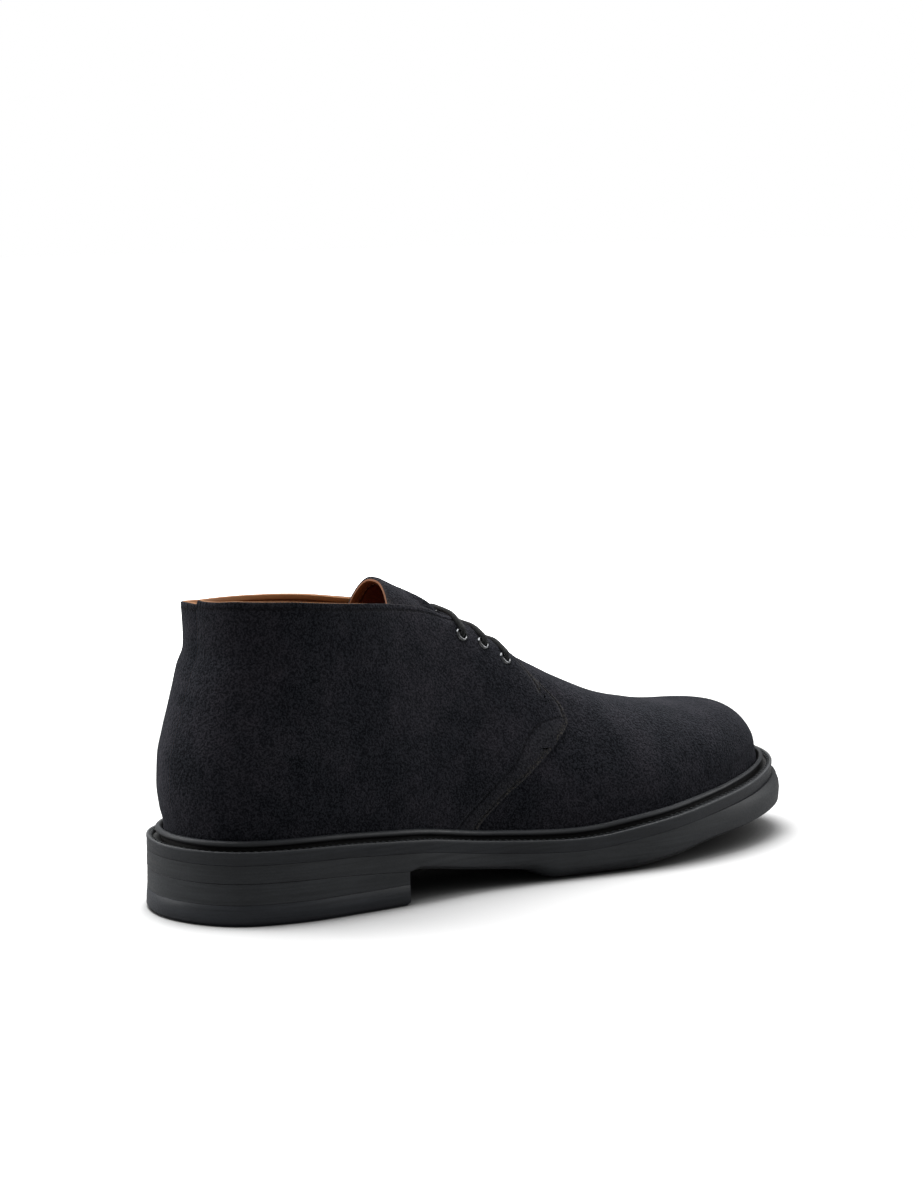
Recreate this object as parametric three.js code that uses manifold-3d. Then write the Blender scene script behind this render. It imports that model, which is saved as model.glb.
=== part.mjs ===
// Chukka boot, right foot: suede upper on a storm welt, with a full outsole, a heel lift and
// a top piece, an insole, a tongue, three pairs of eyelets and three bars of round lace.
// Millimetres. +X points to the toe, +Y to the inner (medial) side of the foot, +Z up.
import * as THREE from "three";
import Module from "manifold-3d";

const wasm = await Module();
wasm.setup();

// Overall sizes of the boot.
const SHOE_LENGTH = 306; // welt flange, back of the heel to the toe
const BALL_WIDTH = 104.5; // welt flange across the ball
const HEEL_HEIGHT = 28.6; // floor to the flange's top at the heel
const INSTEP_HEIGHT = 111; // floor to the instep's crest beside the top eyelets
const COLLAR_HEIGHT = 119.5; // floor to the top line at the back seam
const HEEL_LENGTH = 86; // back of the heel to the breast of the heel block
const GAP = 0.3; // clearance between touching pieces

// The welt, the sole and the heel, from the top down.
const WELT_THICK = 5;
const WELT_WIDTH_HEEL = 6.4; // flange edge to the suede, at the back of the heel
const WELT_WIDTH_SIDE = 7.8; // flange edge to the suede, at the waist and the ball
const WELT_WIDTH_TOE = 5.9; // flange edge to the suede, at the toe
const BEAD_RISE = 3.4; // the storm bead stands this far above the flange at the heel
const BEAD_RISE_TOE = 2.4;
const BEAD_WIDTH = 3.2;
const OUTSOLE_TOE_FLARE = 3.4; // the outsole's edge stands out past the welt at the toe
const FLARE_START = 218; // the flare grows between these two stations
const FLARE_FULL = 296;
const LIFT_TOP_PIECE_SEAM = 8.2; // floor to the seam between the lift and the top piece
const EDGE_BREAK = 0.8; // rounding on the sole's edges
const FINE_BREAK = 0.5; // rounding on its finer edges
const SOLE_BEVEL = 1.7; // height of the slant under the outsole's edge
const SOLE_BEVEL_WIDTH = 2.7;
const TOP_PIECE_BEVEL = 1.3;
const TOP_PIECE_FLARE = 0.3; // the top piece stands out past the lift
const TREAD_DEPTH = 1.6; // the field inside the rim is sunk by this much
const TREAD_RIM = 9; // width of the plain rim round the studs
const TREAD_START = 166; // back of the forefoot's tread
const TREAD_CUT = 4; // how far a cut or a stud runs past the surface it works on
const STUD_RADIUS = 5.2;

// The upper, the insole, the tongue and the fastening.
const WALL = 2.2; // suede and its lining together
const INSOLE_THICK = 4.6;
const INSOLE_SPRING = 0.8;
const TONGUE_THICK = 2.4;
const TONGUE_CLEARANCE = 1.2; // between the tongue and the inside of the upper
const TONGUE_CORNER = -4; // the tongue's top edge reaches this far ahead at its corners
const THROAT_HALF_WIDTH = 10.5;
const THROAT_ROUND = 6; // length of the rounded end of the throat
const THROAT_BASE_X = 166;
const EYELET_BORE = 1.75;
const EYELET_BARREL = 2.15;
const EYELET_FLANGE = 2.9;
const EYELET_FLANGE_THICK = 0.6;
const EYELET_ROUNDING = 0.3;
const LACE_RADIUS = 1.25;

// Plan of the welt flange: a row per station from the back of the heel to the toe.
// at is a fraction of SHOE_LENGTH; lateral and medial are fractions of BALL_WIDTH.
const OUTLINE = [
  { at: 0.0, lateral: 0.0, medial: 0.0 },
  { at: 0.016, lateral: 0.182, medial: 0.178 },
  { at: 0.052, lateral: 0.3, medial: 0.295 },
  { at: 0.124, lateral: 0.376, medial: 0.367 },
  { at: 0.203, lateral: 0.394, medial: 0.371 },
  { at: 0.281, lateral: 0.398, medial: 0.346 },
  { at: 0.392, lateral: 0.379, medial: 0.304 },
  { at: 0.49, lateral: 0.413, medial: 0.335 },
  { at: 0.588, lateral: 0.465, medial: 0.419 },
  { at: 0.67, lateral: 0.497, medial: 0.484 },
  { at: 0.735, lateral: 0.49, medial: 0.501 },
  { at: 0.817, lateral: 0.442, medial: 0.477 },
  { at: 0.889, lateral: 0.358, medial: 0.404 },
  { at: 0.948, lateral: 0.243, medial: 0.302 },
  { at: 0.984, lateral: 0.112, medial: 0.192 },
  { at: 1.0, lateral: -0.038, medial: 0.038 },
];

// Height of the flange's top, a fraction of HEEL_HEIGHT: heel, arch, ball and toe spring.
const FLANGE = [
  { at: 0.0, height: 1.0 },
  { at: 0.13, height: 0.986 },
  { at: 0.294, height: 0.874 },
  { at: 0.425, height: 0.668 },
  { at: 0.556, height: 0.563 },
  { at: 0.67, height: 0.68 },
  { at: 0.784, height: 0.825 },
  { at: 0.882, height: 0.927 },
  { at: 0.948, height: 1.015 },
  { at: 1.02, height: 1.1 },
];

// Height of the outsole's underside in millimetres: heel seat, waist, tread and toe spring.
const UNDERSIDE = [
  { at: 0.0, height: 16.5 },
  { at: 0.13, height: 16.2 },
  { at: 0.294, height: 12.9 },
  { at: 0.392, height: 8.4 },
  { at: 0.474, height: 5.2 },
  { at: 0.523, height: 0.0 },
  { at: 0.628, height: 0.0 },
  { at: 0.69, height: 1.7 },
  { at: 0.784, height: 6.2 },
  { at: 0.882, height: 9.3 },
  { at: 0.945, height: 11.2 },
  { at: 1.02, height: 15.0 },
];

// The crest of the last: crest is a fraction of INSTEP_HEIGHT, drift is how far the crest lies
// to the inner side in millimetres, and fullness is how square the section's shoulders are.
const CREST = [
  { at: 0.000, crest: 1.604, drift: 0, fullness: 4 },
  { at: 0.124, crest: 1.604, drift: 0, fullness: 4 },
  { at: 0.170, crest: 1.586, drift: 0.1, fullness: 3.8 },
  { at: 0.219, crest: 1.369, drift: 0.2, fullness: 3.4 },
  { at: 0.261, crest: 1.248, drift: 0.4, fullness: 3 },
  { at: 0.310, crest: 1.156, drift: 0.7, fullness: 2.4 },
  { at: 0.337, crest: 1.122, drift: 0.9, fullness: 2.3 },
  { at: 0.366, crest: 1.083, drift: 1, fullness: 2.25 },
  { at: 0.392, crest: 1.043, drift: 1, fullness: 2.2 },
  { at: 0.420, crest: 1.000, drift: 1, fullness: 2.2 },
  { at: 0.441, crest: 0.966, drift: 1.1, fullness: 2.2 },
  { at: 0.461, crest: 0.933, drift: 1.2, fullness: 2.2 },
  { at: 0.490, crest: 0.879, drift: 1.3, fullness: 2.2 },
  { at: 0.516, crest: 0.831, drift: 1.5, fullness: 2.22 },
  { at: 0.542, crest: 0.778, drift: 1.7, fullness: 2.25 },
  { at: 0.582, crest: 0.714, drift: 2.1, fullness: 2.3 },
  { at: 0.611, crest: 0.675, drift: 2.4, fullness: 2.35 },
  { at: 0.673, crest: 0.605, drift: 2.9, fullness: 2.45 },
  { at: 0.712, crest: 0.571, drift: 3.1, fullness: 2.55 },
  { at: 0.758, crest: 0.539, drift: 3.4, fullness: 2.7 },
  { at: 0.801, crest: 0.515, drift: 3.6, fullness: 2.9 },
  { at: 0.843, crest: 0.503, drift: 3.8, fullness: 3.05 },
  { at: 0.876, crest: 0.499, drift: 3.8, fullness: 3.05 },
];

// How far the wall stands out from (+) or in from (-) the plain section, in millimetres, at
// these heights over the rim: the counter's bulge, the kink over it, and the soft shaft.
const WALL_HEIGHTS = [0, 8.6, 16, 25, 35, 45, 54, 62, 70, 77, 95];
const WALL_SHAPE = [
  { at: -1.0, out: [0, 0, 1.8, 2.9, 2.8, 0.7, -1.6, -3.6, -6.4, -8.4, -6.7] },
  { at: -0.5, out: [0, 0, 1.5, 2.5, 2.3, 0.8, -1.0, -2.4, -3.6, -5.6, -3.7] },
  { at: 0.0, out: [0, 0, 1.3, 2.0, 1.7, 0.6, -0.8, -1.4, -1.6, -1.6, 0.2] },
  { at: 0.2, out: [0, 0, 1.1, 1.9, 1.8, 1.0, 0, -0.6, -0.8, -0.6, 0.6] },
  { at: 0.4, out: [0, 0, 1.0, 1.6, 1.4, 0.8, 0.2, -0.2, -0.4, -0.4, 0] },
  { at: 0.6, out: [0, 0, 1.4, 2.0, 1.4, 0.6, 0, 0, 0, 0, 0] },
  { at: 1.0, out: [0, 0, 1.3, 1.6, 0.8, 0, 0, 0, 0, 0, 0] },
  { at: 1.5, out: [0, 0, 0.9, 1.0, 0.4, 0, 0, 0, 0, 0, 0] },
];

// How far the last's body overhangs the sole on each side, in millimetres: the arch's hollow.
const OVERHANG = [
  { at: 0.12, lateral: 0, medial: 0 },
  { at: 0.28, lateral: 0.3, medial: 2.2 },
  { at: 0.39, lateral: 0.8, medial: 7.2 },
  { at: 0.49, lateral: 0.6, medial: 6.4 },
  { at: 0.59, lateral: 0, medial: 3.0 },
  { at: 0.68, lateral: 0, medial: 0.6 },
  { at: 0.84, lateral: 0, medial: 0 },
];
const OVERHANG_START = 8.6;
const OVERHANG_FULL = 36;

// The top line, from the back seam to the front of the quarters, as fractions of COLLAR_HEIGHT.
const COLLAR = [
  { at: 0.000, lateral: 0.998, medial: 0.998 },
  { at: 0.039, lateral: 1.000, medial: 0.996 },
  { at: 0.072, lateral: 1.015, medial: 0.980 },
  { at: 0.121, lateral: 1.010, medial: 0.967 },
  { at: 0.170, lateral: 0.998, medial: 0.966 },
  { at: 0.221, lateral: 0.983, medial: 0.965 },
  { at: 0.258, lateral: 0.972, medial: 0.961 },
  { at: 0.310, lateral: 0.954, medial: 0.946 },
  { at: 0.342, lateral: 0.940, medial: 0.934 },
  { at: 0.365, lateral: 0.928, medial: 0.924 },
  { at: 0.405, lateral: 0.895, medial: 0.894 },
  { at: 0.428, lateral: 0.879, medial: 0.878 },
  { at: 0.490, lateral: 0.845, medial: 0.845 },
];

// Half width of the tongue from its top edge to the seam under the vamp.
const TONGUE = [
  { at: 0.325, half: 19 },
  { at: 0.340, half: 21 },
  { at: 0.366, half: 21.5 },
  { at: 0.451, half: 21 },
  { at: 0.516, half: 18 },
  { at: 0.575, half: 13 },
];

// Where each pair of eyelets stands: at along the shoe, and reach to each side of the crest.
const EYELETS = [
  { at: 0.4261, reach: 17.3 },
  { at: 0.4624, reach: 17.1 },
  { at: 0.4954, reach: 18.6 },
];

// The path of a bar of lace: up and inwards out of its eyelet, then over the last at reaches
// from the crest. It lies on the facings and sags to the tongue between them.
const LACE_CLIMB = [
  { inward: 0, height: -1.6 },
  { inward: 0, height: 1.3 },
  { inward: 1.2, height: 2.5 },
];
const LACE_REST = [
  { reach: 14.5, lift: 2.2 },
  { reach: 11.5, lift: 2.1 },
  { reach: 8.2, lift: 0.7 },
  { reach: 5, lift: -0.9 },
];
const LACE_CROWN_LIFT = -1.6;

// Studs of the tread: rows across the forefoot and the heel, in millimetres.
const FOREFOOT_STUDS = [
  { x: 178, y: [-30, -10, 11, 31] },
  { x: 196, y: [-32, -11, 11, 33] },
  { x: 214, y: [-32, -10, 12, 34] },
  { x: 232, y: [-28, -8, 13, 33] },
  { x: 250, y: [-21, 3, 27] },
  { x: 268, y: [-10, 11] },
];
const HEEL_STUDS = [
  { x: 22, y: [-12, 12] },
  { x: 42, y: [-20, 0, 20] },
  { x: 62, y: [-20, 0, 20] },
];

// Columns: the stations round the boot at which every ring has a point.
const HEEL_AXIS = 38;
const TOE_AXIS = 258;
const HEEL_FAN_STEPS = 7;
const TOE_FAN_STEPS = 8;
const SIDE_STATIONS = [
  38, 50, 62, 74, 86, 97, 107, 117, 125, 131, 138, 147, 155, 160, 163.5, 166,
  172, 180, 190, 200, 211, 222, 234, 246, 258,
];
const WALL_ROWS = 11;
const PROFILE_SAMPLES = 90;
const OUTLINE_SAMPLES = 480;
const BORE_SIDES = 12;
const STUD_SIDES = 10;
const TONGUE_ROWS = 11;
const TONGUE_COLUMNS = 12;
const LACE_STEPS = 20;
const LACE_CURVE_SEGMENTS = 3;
const NORMAL_STEP = 1.5; // half the span over which the surface's slope is taken
const CREST_REACH = 0.1; // the least reach at which a side of the crest is read

// A column of a table at a station, on a smooth curve that never overshoots its rows.
function along(rows, keyOf, valueOf, station) {
  const last = rows.length - 1;
  let i = 0;
  while (i < last - 1 && station > keyOf(rows[i + 1])) i += 1;
  const secant = (k) =>
    (valueOf(rows[k + 1]) - valueOf(rows[k])) / (keyOf(rows[k + 1]) - keyOf(rows[k]));
  const slope = (k) => {
    if (k === 0) return secant(0);
    if (k === last) return secant(last - 1);
    const before = secant(k - 1);
    const after = secant(k);
    return before * after <= 0 ? 0 : (2 * before * after) / (before + after);
  };
  const start = keyOf(rows[i]);
  const span = keyOf(rows[i + 1]) - start;
  const t = THREE.MathUtils.clamp((station - start) / span, 0, 1);
  const from = valueOf(rows[i]);
  const to = valueOf(rows[i + 1]);
  const rise = t * t * (3 - 2 * t);
  const ease = t * (1 - t);
  return from + (to - from) * rise + span * ease * ((1 - t) * slope(i) - t * slope(i + 1));
}

function tableAt(rows, name, x) {
  return along(rows, (row) => row.at * SHOE_LENGTH, (row) => row[name], x);
}

const flangeTop = (x) => HEEL_HEIGHT * tableAt(FLANGE, "height", x);
const underside = (x) => tableAt(UNDERSIDE, "height", x);
const drift = (x) => tableAt(CREST, "drift", x);
const crestTop = (x) => INSTEP_HEIGHT * tableAt(CREST, "crest", x);
const footHeight = (x) => flangeTop(x) - WELT_THICK;

// Width of the welt between the flange's edge and the suede.
function weltWidth(x) {
  const { lerp, smoothstep } = THREE.MathUtils;
  const side = lerp(WELT_WIDTH_HEEL, WELT_WIDTH_SIDE, smoothstep(x, 0, HEEL_LENGTH));
  return lerp(side, WELT_WIDTH_TOE, smoothstep(x, TOE_AXIS, SHOE_LENGTH));
}

// Height of the storm bead's top.
function beadTop(x) {
  const rise = THREE.MathUtils.lerp(
    BEAD_RISE, BEAD_RISE_TOE, THREE.MathUtils.smoothstep(x, THROAT_BASE_X, TOE_AXIS));
  return flangeTop(x) + rise;
}

// The outsole's edge flares out past the welt as it nears the toe.
function toeFlare(x) {
  return OUTSOLE_TOE_FLARE * THREE.MathUtils.smoothstep(x, FLARE_START, FLARE_FULL);
}

// Plan outline, anticlockwise from the back of the heel along the outer side.
const lateralPoints = OUTLINE.map(
  (row) => new THREE.Vector3(row.at * SHOE_LENGTH, -row.lateral * BALL_WIDTH, 0));
const medialPoints = OUTLINE.slice(1, -1).reverse().map(
  (row) => new THREE.Vector3(row.at * SHOE_LENGTH, row.medial * BALL_WIDTH, 0));
const outlineCurve = new THREE.CatmullRomCurve3(
  [...lateralPoints, ...medialPoints], true, "centripetal");
const outline = outlineCurve.getSpacedPoints(OUTLINE_SAMPLES).slice(0, OUTLINE_SAMPLES);

// The outline moved inwards by a distance that may vary along the shoe.
function insetOutline(inset) {
  const count = outline.length;
  return outline.map((point, i) => {
    const before = outline[(i + count - 1) % count];
    const after = outline[(i + 1) % count];
    const direction = new THREE.Vector2(after.x - before.x, after.y - before.y).normalize();
    const distance = inset(point.x);
    return new THREE.Vector2(
      point.x - direction.y * distance, point.y + direction.x * distance);
  });
}

// Distance from a column's foot on the centre line to a plan outline.
function reachOf(column, plan) {
  let best = 0;
  for (let i = 0; i < plan.length; i += 1) {
    const a = plan[i];
    const b = plan[(i + 1) % plan.length];
    const edge = new THREE.Vector2().subVectors(b, a);
    const toStart = new THREE.Vector2().subVectors(a, column.foot);
    const cross = column.out.x * edge.y - column.out.y * edge.x;
    const distance = (toStart.x * edge.y - toStart.y * edge.x) / cross;
    const share = (toStart.x * column.out.y - toStart.y * column.out.x) / cross;
    if (share >= 0 && share <= 1 && distance > best) best = distance;
  }
  return best;
}

// A column's foot, its outward direction, and turn: -1 at the back seam, 0 at the heel's side,
// 1 at the toe's side and 1.5 at the tip, which is how WALL_SHAPE names its rows.
function makeColumn(x, outX, outY, turn) {
  return {
    foot: new THREE.Vector2(x, drift(x)), out: new THREE.Vector2(outX, outY), turn,
  };
}

function sideColumns(side) {
  const columns = [];
  for (let k = 1; k < HEEL_FAN_STEPS; k += 1) {
    const angle = (k / HEEL_FAN_STEPS) * Math.PI * 0.5;
    columns.push(makeColumn(
      HEEL_AXIS, -Math.cos(angle), side * Math.sin(angle), k / HEEL_FAN_STEPS - 1));
  }
  for (const x of SIDE_STATIONS) {
    columns.push(makeColumn(x, 0, side, (x - HEEL_AXIS) / (TOE_AXIS - HEEL_AXIS)));
  }
  for (let k = 1; k < TOE_FAN_STEPS; k += 1) {
    const angle = (k / TOE_FAN_STEPS) * Math.PI * 0.5;
    columns.push(makeColumn(
      TOE_AXIS, Math.sin(angle), side * Math.cos(angle), 1 + 0.5 * (k / TOE_FAN_STEPS)));
  }
  return columns;
}

const columns = [
  makeColumn(HEEL_AXIS, -1, 0, -1),
  ...sideColumns(-1),
  makeColumn(TOE_AXIS, 1, 0, 1.5),
  ...sideColumns(1).reverse(),
];

// Mesh under construction: points, and triangles that list them.
class Skin {
  constructor() {
    this.points = [];
    this.faces = [];
    this.lookup = new Map();
  }

  add(point) {
    const key = point.toArray().map((value) => Math.round(value * 2000)).join(",");
    if (!this.lookup.has(key)) {
      this.lookup.set(key, this.points.length);
      this.points.push(point.clone());
    }
    return this.lookup.get(key);
  }

  triangle(a, b, c) {
    if (a !== b && b !== c && c !== a) this.faces.push([a, b, c]);
  }

  quad(a, b, c, d) {
    this.triangle(a, b, c);
    this.triangle(a, c, d);
  }

  geometry() {
    const geometry = new THREE.BufferGeometry();
    const flat = this.points.flatMap((point) => point.toArray());
    geometry.setAttribute("position", new THREE.Float32BufferAttribute(flat, 3));
    geometry.setIndex(this.faces.flat());
    return geometry;
  }
}

// A sheet given a thickness on its inner side, closed along every free edge.
function thicken(sheet, thickness) {
  const normals = sheet.points.map(() => new THREE.Vector3());
  for (const [a, b, c] of sheet.faces) {
    const ab = new THREE.Vector3().subVectors(sheet.points[b], sheet.points[a]);
    const ac = new THREE.Vector3().subVectors(sheet.points[c], sheet.points[a]);
    const normal = ab.cross(ac);
    for (const index of [a, b, c]) normals[index].add(normal);
  }
  const count = sheet.points.length;
  const solid = new Skin();
  solid.points = [
    ...sheet.points,
    ...sheet.points.map((point, i) =>
      point.clone().addScaledVector(normals[i].normalize(), -thickness)),
  ];
  const edges = new Map();
  for (const [a, b, c] of sheet.faces) {
    solid.faces.push([a, b, c], [a + count, c + count, b + count]);
    for (const [from, to] of [[a, b], [b, c], [c, a]]) edges.set(`${from},${to}`, [from, to]);
  }
  for (const [from, to] of edges.values()) {
    if (!edges.has(`${to},${from}`)) solid.quad(to, from, from + count, to + count);
  }
  return solid;
}

// Rings from the bottom up: each level has an inset rule and a height rule along the shoe.
function ringPoints(level, ring) {
  const plan = insetOutline(level.inset);
  return ring.map((column) => {
    const reach = reachOf(column, plan);
    const x = column.foot.x + column.out.x * reach;
    return new THREE.Vector3(x, column.foot.y + column.out.y * reach, level.height(x));
  });
}

function capRing(skin, ring, points, height, up) {
  const spine = ring.map((column) =>
    skin.add(new THREE.Vector3(column.foot.x, column.foot.y, height(column.foot.x))));
  points.forEach((index, i) => {
    const next = (i + 1) % points.length;
    if (up) skin.quad(index, points[next], spine[next], spine[i]);
    else skin.quad(index, spine[i], spine[next], points[next]);
  });
}

function joinRings(skin, lower, upper) {
  lower.forEach((index, i) => {
    const next = (i + 1) % lower.length;
    skin.quad(index, lower[next], upper[next], upper[i]);
  });
}

function stackedSlab(levels, ring) {
  const skin = new Skin();
  const rings = levels.map((level) =>
    ringPoints(level, ring).map((point) => skin.add(point)));
  for (let k = 0; k + 1 < rings.length; k += 1) joinRings(skin, rings[k], rings[k + 1]);
  capRing(skin, ring, rings[0], levels[0].height, false);
  capRing(skin, ring, rings[rings.length - 1], levels[levels.length - 1].height, true);
  return skin.geometry();
}

function hoop(levels, ring) {
  const skin = new Skin();
  const rings = levels.map((level) =>
    ringPoints(level, ring).map((point) => skin.add(point)));
  rings.forEach((lower, k) => joinRings(skin, lower, rings[(k + 1) % rings.length]));
  return skin.geometry();
}

// Solids go through manifold for cuts and joins, and come back as plain geometry.
function toManifold(geometry) {
  const mesh = new wasm.Mesh({
    numProp: 3,
    vertProperties: new Float32Array(geometry.attributes.position.array),
    triVerts: new Uint32Array(geometry.index.array),
  });
  mesh.merge();
  return new wasm.Manifold(mesh);
}

function fromManifold(solid) {
  const mesh = solid.getMesh();
  const geometry = new THREE.BufferGeometry();
  const stride = mesh.numProp;
  const flat = [];
  for (let i = 0; i < mesh.vertProperties.length; i += stride) {
    flat.push(mesh.vertProperties[i], mesh.vertProperties[i + 1], mesh.vertProperties[i + 2]);
  }
  geometry.setAttribute("position", new THREE.Float32BufferAttribute(flat, 3));
  geometry.setIndex(Array.from(mesh.triVerts));
  return geometry;
}

// An upright round bar between two heights.
function uprightBar(x, y, radius, bottom, top) {
  const geometry = new THREE.CylinderGeometry(radius, radius, top - bottom, STUD_SIDES);
  geometry.rotateX(Math.PI / 2);
  geometry.translate(x, y, (bottom + top) / 2);
  return weldedSolid(geometry);
}

// Joins the seams that three.js leaves in its own shapes.
function weldedSolid(geometry) {
  const skin = new Skin();
  const position = geometry.attributes.position;
  const corners = geometry.index
    ? Array.from(geometry.index.array)
    : Array.from({ length: position.count }, (_, i) => i);
  const point = new THREE.Vector3();
  const welded = corners.map((i) => skin.add(point.fromBufferAttribute(position, i)));
  for (let i = 0; i < welded.length; i += 3) {
    skin.triangle(welded[i], welded[i + 1], welded[i + 2]);
  }
  return skin.geometry();
}

// The last: the outer surface of the upper on a column, sampled from its foot to the crest.
const uprightPlan = insetOutline((x) => weltWidth(x));

function wallOut(turn, height) {
  const columnAt = WALL_SHAPE.map((row) => ({
    at: row.at,
    out: along(
      WALL_HEIGHTS.map((level, k) => ({ level, out: row.out[k] })),
      (entry) => entry.level, (entry) => entry.out, height),
  }));
  return along(columnAt, (row) => row.at, (row) => row.out, turn);
}

function lastProfile(column) {
  const reach = reachOf(column, uprightPlan);
  const rimX = column.foot.x + column.out.x * reach;
  const rimZ = footHeight(rimX) + GAP / 2;
  const rise = crestTop(column.foot.x) - rimZ;
  const fullness = tableAt(CREST, "fullness", column.foot.x);
  const overhang = tableAt(OVERHANG, column.out.y < 0 ? "lateral" : "medial", column.foot.x);
  const points = [];
  for (let k = 0; k <= PROFILE_SAMPLES; k += 1) {
    const angle = (k / PROFILE_SAMPLES) * Math.PI * 0.5;
    const height = rise * Math.sin(angle);
    const shoulder = k === PROFILE_SAMPLES ? 0 : Math.pow(Math.cos(angle), 2 / fullness);
    const ebb = THREE.MathUtils.smoothstep(shoulder, 0, 0.6);
    const tucked = 1 - THREE.MathUtils.smoothstep(height, OVERHANG_START, OVERHANG_FULL);
    const out = (reach + overhang) * shoulder - overhang * tucked
      + ebb * wallOut(column.turn, height);
    points.push(new THREE.Vector3(
      column.foot.x + column.out.x * out, column.foot.y + column.out.y * out, rimZ + height));
  }
  return points;
}

// The opening for the foot: above the top line, or between the two facings.
function isOpen(point) {
  const side = point.y < drift(point.x) ? "lateral" : "medial";
  const collar = COLLAR_HEIGHT * tableAt(COLLAR, side, point.x);
  if (point.x < THROAT_BASE_X && point.z > collar) return true;
  const beyond = (point.x - (THROAT_BASE_X - THROAT_ROUND)) / THROAT_ROUND;
  const narrowing = beyond > 0 ? Math.sqrt(Math.max(0, 1 - beyond * beyond)) : 1;
  const half = THROAT_HALF_WIDTH * narrowing;
  return point.x < THROAT_BASE_X && point.x > HEEL_LENGTH
    && Math.abs(point.y - drift(point.x)) < half;
}

// Cuts a profile where it reaches the opening, and spaces its points evenly.
function trimmedProfile(column) {
  const profile = lastProfile(column);
  const kept = [profile[0]];
  for (let k = 1; k < profile.length; k += 1) {
    if (!isOpen(profile[k])) {
      kept.push(profile[k]);
      continue;
    }
    let low = 0;
    let high = 1;
    const probe = new THREE.Vector3();
    for (let step = 0; step < 24; step += 1) {
      const middle = (low + high) / 2;
      probe.lerpVectors(profile[k - 1], profile[k], middle);
      if (isOpen(probe)) high = middle;
      else low = middle;
    }
    kept.push(new THREE.Vector3().lerpVectors(profile[k - 1], profile[k], high));
    break;
  }
  const lengths = [0];
  for (let k = 1; k < kept.length; k += 1) {
    lengths.push(lengths[k - 1] + kept[k].distanceTo(kept[k - 1]));
  }
  const total = lengths[lengths.length - 1];
  const spaced = [];
  for (let row = 0; row <= WALL_ROWS; row += 1) {
    const target = (row / WALL_ROWS) * total;
    let k = 1;
    while (k < kept.length - 1 && lengths[k] < target) k += 1;
    const part = (target - lengths[k - 1]) / (lengths[k] - lengths[k - 1]);
    spaced.push(new THREE.Vector3().lerpVectors(kept[k - 1], kept[k], part));
  }
  return spaced;
}

function upperShell() {
  const sheet = new Skin();
  const grid = columns.map((column) => trimmedProfile(column).map((point) => sheet.add(point)));
  grid.forEach((profile, i) => {
    const next = grid[(i + 1) % grid.length];
    for (let row = 0; row < WALL_ROWS; row += 1) {
      sheet.quad(profile[row], next[row], next[row + 1], profile[row + 1]);
    }
  });
  const shell = thicken(sheet, WALL);
  grid.forEach((profile) => {
    const inner = shell.points[profile[0] + sheet.points.length];
    inner.z = shell.points[profile[0]].z;
  });
  return toManifold(shell.geometry());
}

// A point of the last's top at a station and a reach from the crest, with its outward normal.
function topPoint(x, reach, side) {
  const profile = lastProfile(makeColumn(x, 0, side, (x - HEEL_AXIS) / (TOE_AXIS - HEEL_AXIS)));
  let k = profile.length - 1;
  while (k > 1 && Math.abs(profile[k - 1].y - drift(x)) < reach) k -= 1;
  const inner = profile[k];
  const outer = profile[k - 1];
  const innerReach = Math.abs(inner.y - drift(x));
  const outerReach = Math.abs(outer.y - drift(x));
  return new THREE.Vector3().lerpVectors(
    inner, outer, (reach - innerReach) / (outerReach - innerReach));
}

function topNormal(x, reach, side) {
  const ahead = topPoint(x + NORMAL_STEP, reach, side)
    .sub(topPoint(x - NORMAL_STEP, reach, side));
  const across = topPoint(x, reach + NORMAL_STEP, side)
    .sub(topPoint(x, Math.max(reach - NORMAL_STEP, CREST_REACH), side));
  return new THREE.Vector3().crossVectors(across, ahead).multiplyScalar(-side).normalize();
}

// The tongue lies just inside the upper and stands up above the top line.
function tongueSolid() {
  const sheet = new Skin();
  const first = TONGUE[0].at * SHOE_LENGTH;
  const topHalf = TONGUE[0].half;
  const final = TONGUE[TONGUE.length - 1].at * SHOE_LENGTH;
  const grid = [];
  for (let row = 0; row <= TONGUE_ROWS; row += 1) {
    const spineX = THREE.MathUtils.lerp(first, final, row / TONGUE_ROWS);
    const half = tableAt(TONGUE, "half", spineX);
    const points = [];
    for (let k = 0; k <= TONGUE_COLUMNS; k += 1) {
      const signed = (2 * k) / TONGUE_COLUMNS - 1;
      const side = signed < 0 ? -1 : 1;
      const reach = Math.max(Math.abs(signed) * half, CREST_REACH);
      const corner = TONGUE_CORNER * Math.pow(reach / topHalf, 2);
      const x = THREE.MathUtils.lerp(first + corner, final, row / TONGUE_ROWS);
      const normal = topNormal(x, reach, side);
      if (k * 2 === TONGUE_COLUMNS) normal.y = 0;
      const point = topPoint(x, reach, side)
        .addScaledVector(normal.normalize(), -(WALL + TONGUE_CLEARANCE));
      points.push(sheet.add(point));
    }
    grid.push(points);
  }
  for (let row = 0; row < TONGUE_ROWS; row += 1) {
    for (let k = 0; k < TONGUE_COLUMNS; k += 1) {
      sheet.quad(grid[row][k], grid[row + 1][k], grid[row + 1][k + 1], grid[row][k + 1]);
    }
  }
  return thicken(sheet, TONGUE_THICK).geometry();
}

// Frames at the eyelets: a point on the suede and the way out of it.
function eyeletFrames() {
  const frames = [];
  EYELETS.forEach((row, pair) => {
    for (const side of [-1, 1]) {
      const x = row.at * SHOE_LENGTH;
      frames.push({
        name: `eyelet_${side < 0 ? "lateral" : "medial"}_${pair + 1}`,
        pair,
        side,
        centre: topPoint(x, row.reach, side),
        normal: topNormal(x, row.reach, side),
      });
    }
  });
  return frames;
}

function alongNormal(geometry, frame) {
  const turn = new THREE.Quaternion().setFromUnitVectors(
    new THREE.Vector3(0, 1, 0), frame.normal);
  geometry.applyQuaternion(turn);
  geometry.translate(frame.centre.x, frame.centre.y, frame.centre.z);
  return geometry;
}

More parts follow.
